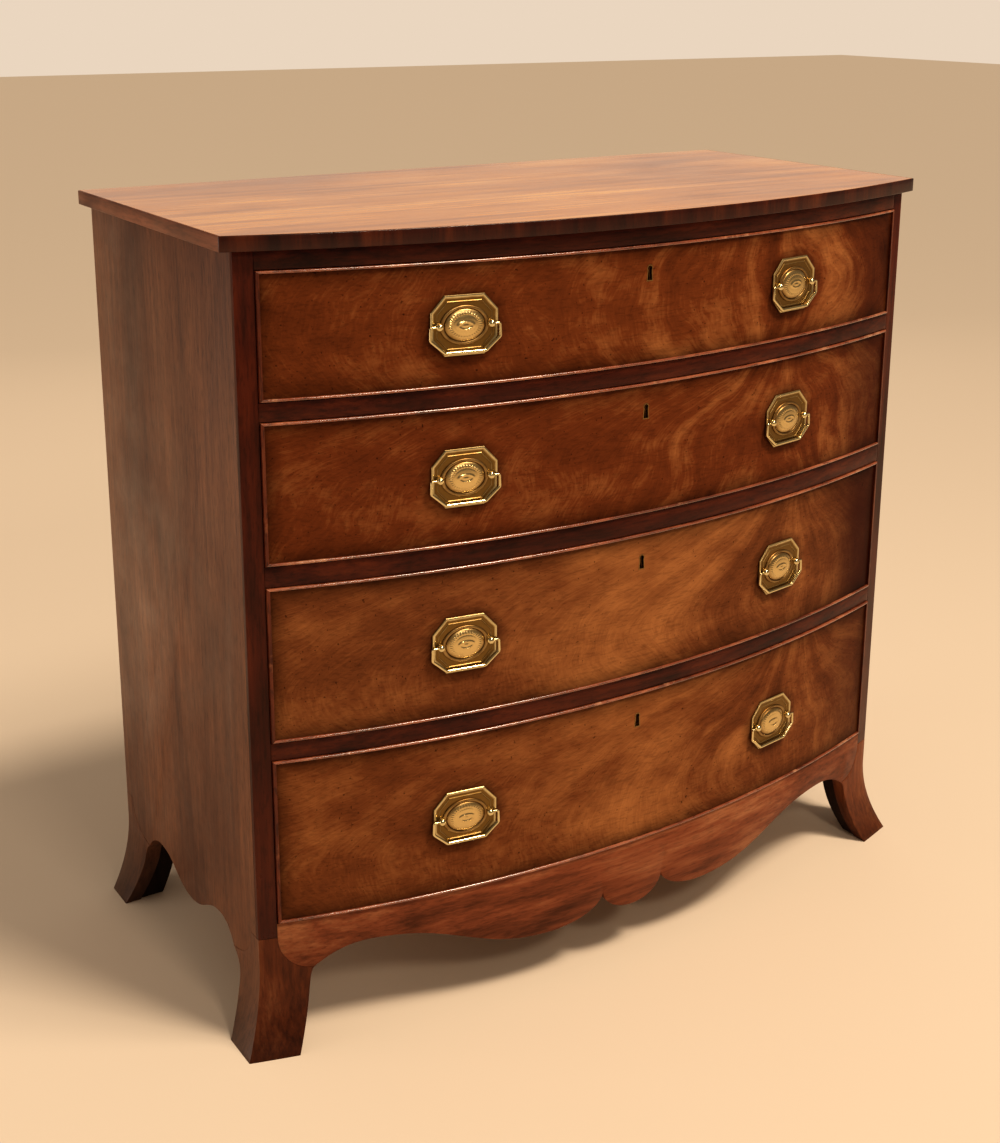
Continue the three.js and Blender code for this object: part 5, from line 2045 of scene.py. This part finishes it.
    def hang(self, masters: dict[str, Piece]) -> None:
        """Hangs copies of the handle on the front.

        Args:
            masters: The modelled plate, dome, posts and bail.
        """
        for side in Side:
            x = side.value * self.handle_place
            turn = math.asin(x / BOW.radius)
            move = Matrix.Translation((x, BOW.y(x), self.handle_z)) @ Matrix.Rotation(turn, 4, "Z")
            base = f"{self.name}_handle_{side.word}"
            plate = copy_of(masters["plate"], f"{base}_plate", move)
            fit(plate, self.name, BRASS, [f"{self.name}_handle_plate_{side.word}"])
            fit(copy_of(masters["dome"], f"{base}_dome", move), self.name, DOME_BRASS)
            for end in Side:
                post = copy_of(masters[f"post_{end.word}"], f"{base}_post_{end.word}", move)
                fit(post, self.name, BRASS)
            bail = copy_of(masters["bail"], f"{base}_bail", move)
            body = f"bail_{self.number}_{side.word}"
            fit(bail, body, BRASS, [f"{self.name}_bail_{side.word}"])

    def build(self, masters: dict[str, Piece]) -> None:
        """Builds the drawer.

        Args:
            masters: The modelled handle pieces.
        """
        self.front()
        self.beads()
        self.escutcheon()
        self.hang(masters)
        for side in Side:
            dress_node(f"{self.name}_side_{side.word}", LINING_OAK)
        dress_node(f"{self.name}_back", LINING_ACROSS)
        dress_node(f"{self.name}_bottom", LINING_ACROSS)
        dress_node(f"{self.name}_lock", IRON)
        dress_node(f"{self.name}_lock_bolt", DULL_BRASS)


# ---------------------------------------------------------------- studio


@dataclass
class Studio:
    """A plain pale floor, soft light and a camera at the photograph's angle."""

    focal: float = 1634.2
    principal: Point = (515.9, 423.4)
    yaw: float = 0.5809
    pitch: float = 0.2661
    roll: float = -0.0068
    eye: Place = (-1.2193, -1.8233, 1.2863)
    sensor: float = 36
    floor_size: float = 40
    lamps: tuple[tuple[str, Place, Place, Point, float, str], ...] = (
        ("key", (0.9, -1.4, 3.3), (0.0, 0.0, 0.6), (0.7, 0.7), 45, "#ffecd4"),
        ("second", (-0.3, -3.2, 2.9), (0.0, 0.0, 0.5), (0.5, 0.5), 24, "#ffecd4"),
        ("back_glow", (1.2, 3.2, 1.75), (0.0, 0.0, 1.05), (5.0, 1.5), 10, "#ffe9d2"),
        ("left_soft", (-3.2, 0.9, 0.8), (-0.5, 0.0, 0.4), (2.2, 1.5), 24, "#fff0e0"),
    )
    ceiling_power: float = 1.65
    ceiling_spread: float = 10
    ceiling_way: Place = (-0.30, 0.48, -1.0)
    ceiling_colour: str = "#ffecd4"
    # Strength of the room's light, what the camera sees more of it and mirrors see less.
    room: Place = (0.31, 0.42, -0.12)
    room_colour: str = "#fae6d0"

    def camera(self) -> None:
        """Sets the camera up, from focal length and angles solved on the photograph."""
        level = math.cos(self.pitch)
        forward = Vector((math.sin(self.yaw) * level, math.cos(self.yaw) * level, -math.sin(self.pitch)))
        right = Vector((math.cos(self.yaw), -math.sin(self.yaw), 0))
        down = forward.cross(right)
        turned_right = math.cos(self.roll) * right + math.sin(self.roll) * down
        turned_down = -math.sin(self.roll) * right + math.cos(self.roll) * down
        data = bpy.data.cameras.new("camera")
        data.sensor_width = self.sensor
        data.lens = self.focal / PHOTO_HEIGHT * data.sensor_width
        data.shift_x = (PHOTO_WIDTH / 2 - self.principal[0]) / PHOTO_HEIGHT
        data.shift_y = (self.principal[1] - PHOTO_HEIGHT / 2) / PHOTO_HEIGHT
        camera = add_object("camera", data)
        stand = Matrix((turned_right, -turned_down, -forward)).transposed().to_4x4()
        stand.translation = Vector(self.eye)
        camera.matrix_world = stand
        bpy.context.scene.camera = camera

    def floor(self) -> None:
        """Lays the floor."""
        clear_bench()
        bpy.ops.mesh.primitive_plane_add(size=self.floor_size)
        floor = bpy.context.object
        floor.name = "floor"
        paint = bpy.data.materials.new("pale_matt_floor")
        paint.use_nodes = True
        feed(paint.node_tree.nodes["Principled BSDF"], {"Base Color": shade("#d8c8b4"), "Roughness": 0.9})
        floor.data.materials.append(paint)

    def light(self, name: str, kind: str, power: float, colour: str, way: Vector) -> Piece:
        """Adds a light.

        Args:
            name: Its name.
            kind: AREA or SUN.
            power: Its power.
            colour: Its colour.
            way: The direction that it shines in.

        Returns:
            The light.
        """
        data = bpy.data.lights.new(name, kind)
        data.energy = power
        data.color = shade(colour)[:3]
        made = add_object(name, data)
        made.rotation_euler = way.to_track_quat("-Z", "Y").to_euler()
        return made

    def lamp(self, name: str, at: Place, aim: Place, size: Point, power: float, colour: str) -> None:
        """Hangs a soft lamp that the camera doesn't see.

        Args:
            name: Its name.
            at: Where it hangs.
            aim: What it points at.
            size: Its width and height.
            power: Its power in watts.
            colour: Its colour.
        """
        lamp = self.light(name, "AREA", power, colour, Vector(aim) - Vector(at))
        lamp.data.shape = "RECTANGLE"
        lamp.data.size, lamp.data.size_y = size
        lamp.visible_camera = False
        lamp.location = at

    def air(self) -> None:
        """Fills the room with soft light, which looks brighter from the camera than in mirrors."""
        world = bpy.data.worlds.new("room")
        bpy.context.scene.world = world
        world.use_nodes = True
        node = partial(add_node, world.node_tree)
        base, extra, less = self.room
        seen = node("LightPath", out="Is Camera Ray")
        mirrored = node("LightPath", out="Is Glossy Ray")
        level = node("Math", (mirrored, less, base), operation="MULTIPLY_ADD")
        level = node("Math", (seen, extra, level), operation="MULTIPLY_ADD")
        feed(world.node_tree.nodes["Background"], {"Strength": level, "Color": shade(self.room_colour)})

    def build(self) -> None:
        """Sets up camera, floor and light."""
        self.camera()
        self.floor()
        self.air()
        for lamp in self.lamps:
            self.lamp(*lamp)
        way = Vector(self.ceiling_way)
        ceiling = self.light("ceiling", "SUN", self.ceiling_power, self.ceiling_colour, way)
        ceiling.data.angle = math.radians(self.ceiling_spread)
        bpy.context.scene.view_settings.view_transform = "Standard"
        bpy.context.scene.view_settings.look = "Medium High Contrast"


def main() -> None:
    """Builds the studio, the case and the drawers."""
    logging.basicConfig(level=logging.INFO, format="%(name)s: %(message)s")
    Studio().build()
    Carcass().build()
    handle = Handle()
    masters = {"plate": handle.plate(), "dome": handle.dome(), "bail": handle.bail()}
    for end in Side:
        masters[f"post_{end.word}"] = handle.post(end)
    # Each end_tone sets how far painted shade darkens the right end of that front.
    drawers = [
        Drawer(1, 0.826, 0.149, 0.001, {
            "bulge": 0.5, "bend": 8, "low_bend": 8, "far_bend": -9, "turn": 0.20, "figure": 0.9,
            "end_tone": 0.45, "middle": "#6b381c",
        }),
        Drawer(2, 0.631, 0.171, 0.001, {
            "bulge": 0.45, "bend": 22, "low_bend": -6, "far_bend": -8, "turn": 0.22, "figure": 0.72,
            "end_tone": 0.65, "middle": "#69361b",
        }),
        Drawer(3, 0.409, 0.195, 0.0025, {
            "bulge": 0.3, "bend": 15, "low_bend": 8, "far_bend": -7, "turn": 0.26, "figure": 0.6,
            "end_tone": 0.9, "middle": "#714225", "heart_light": 0.09,
        }),
        Drawer(4, 0.168, 0.217, 0.0055, {
            "bulge": 0.25, "bend": 12, "low_bend": 6, "far_bend": -6, "turn": 0.28, "figure": 0.55,
            "end_tone": 0.5, "middle": "#704023", "heart_light": 0.06,
        }),
    ]
    for drawer in drawers:
        drawer.build(masters)
    for master in masters.values():
        bpy.data.objects.remove(master)


if __name__ == "__main__":
    main()
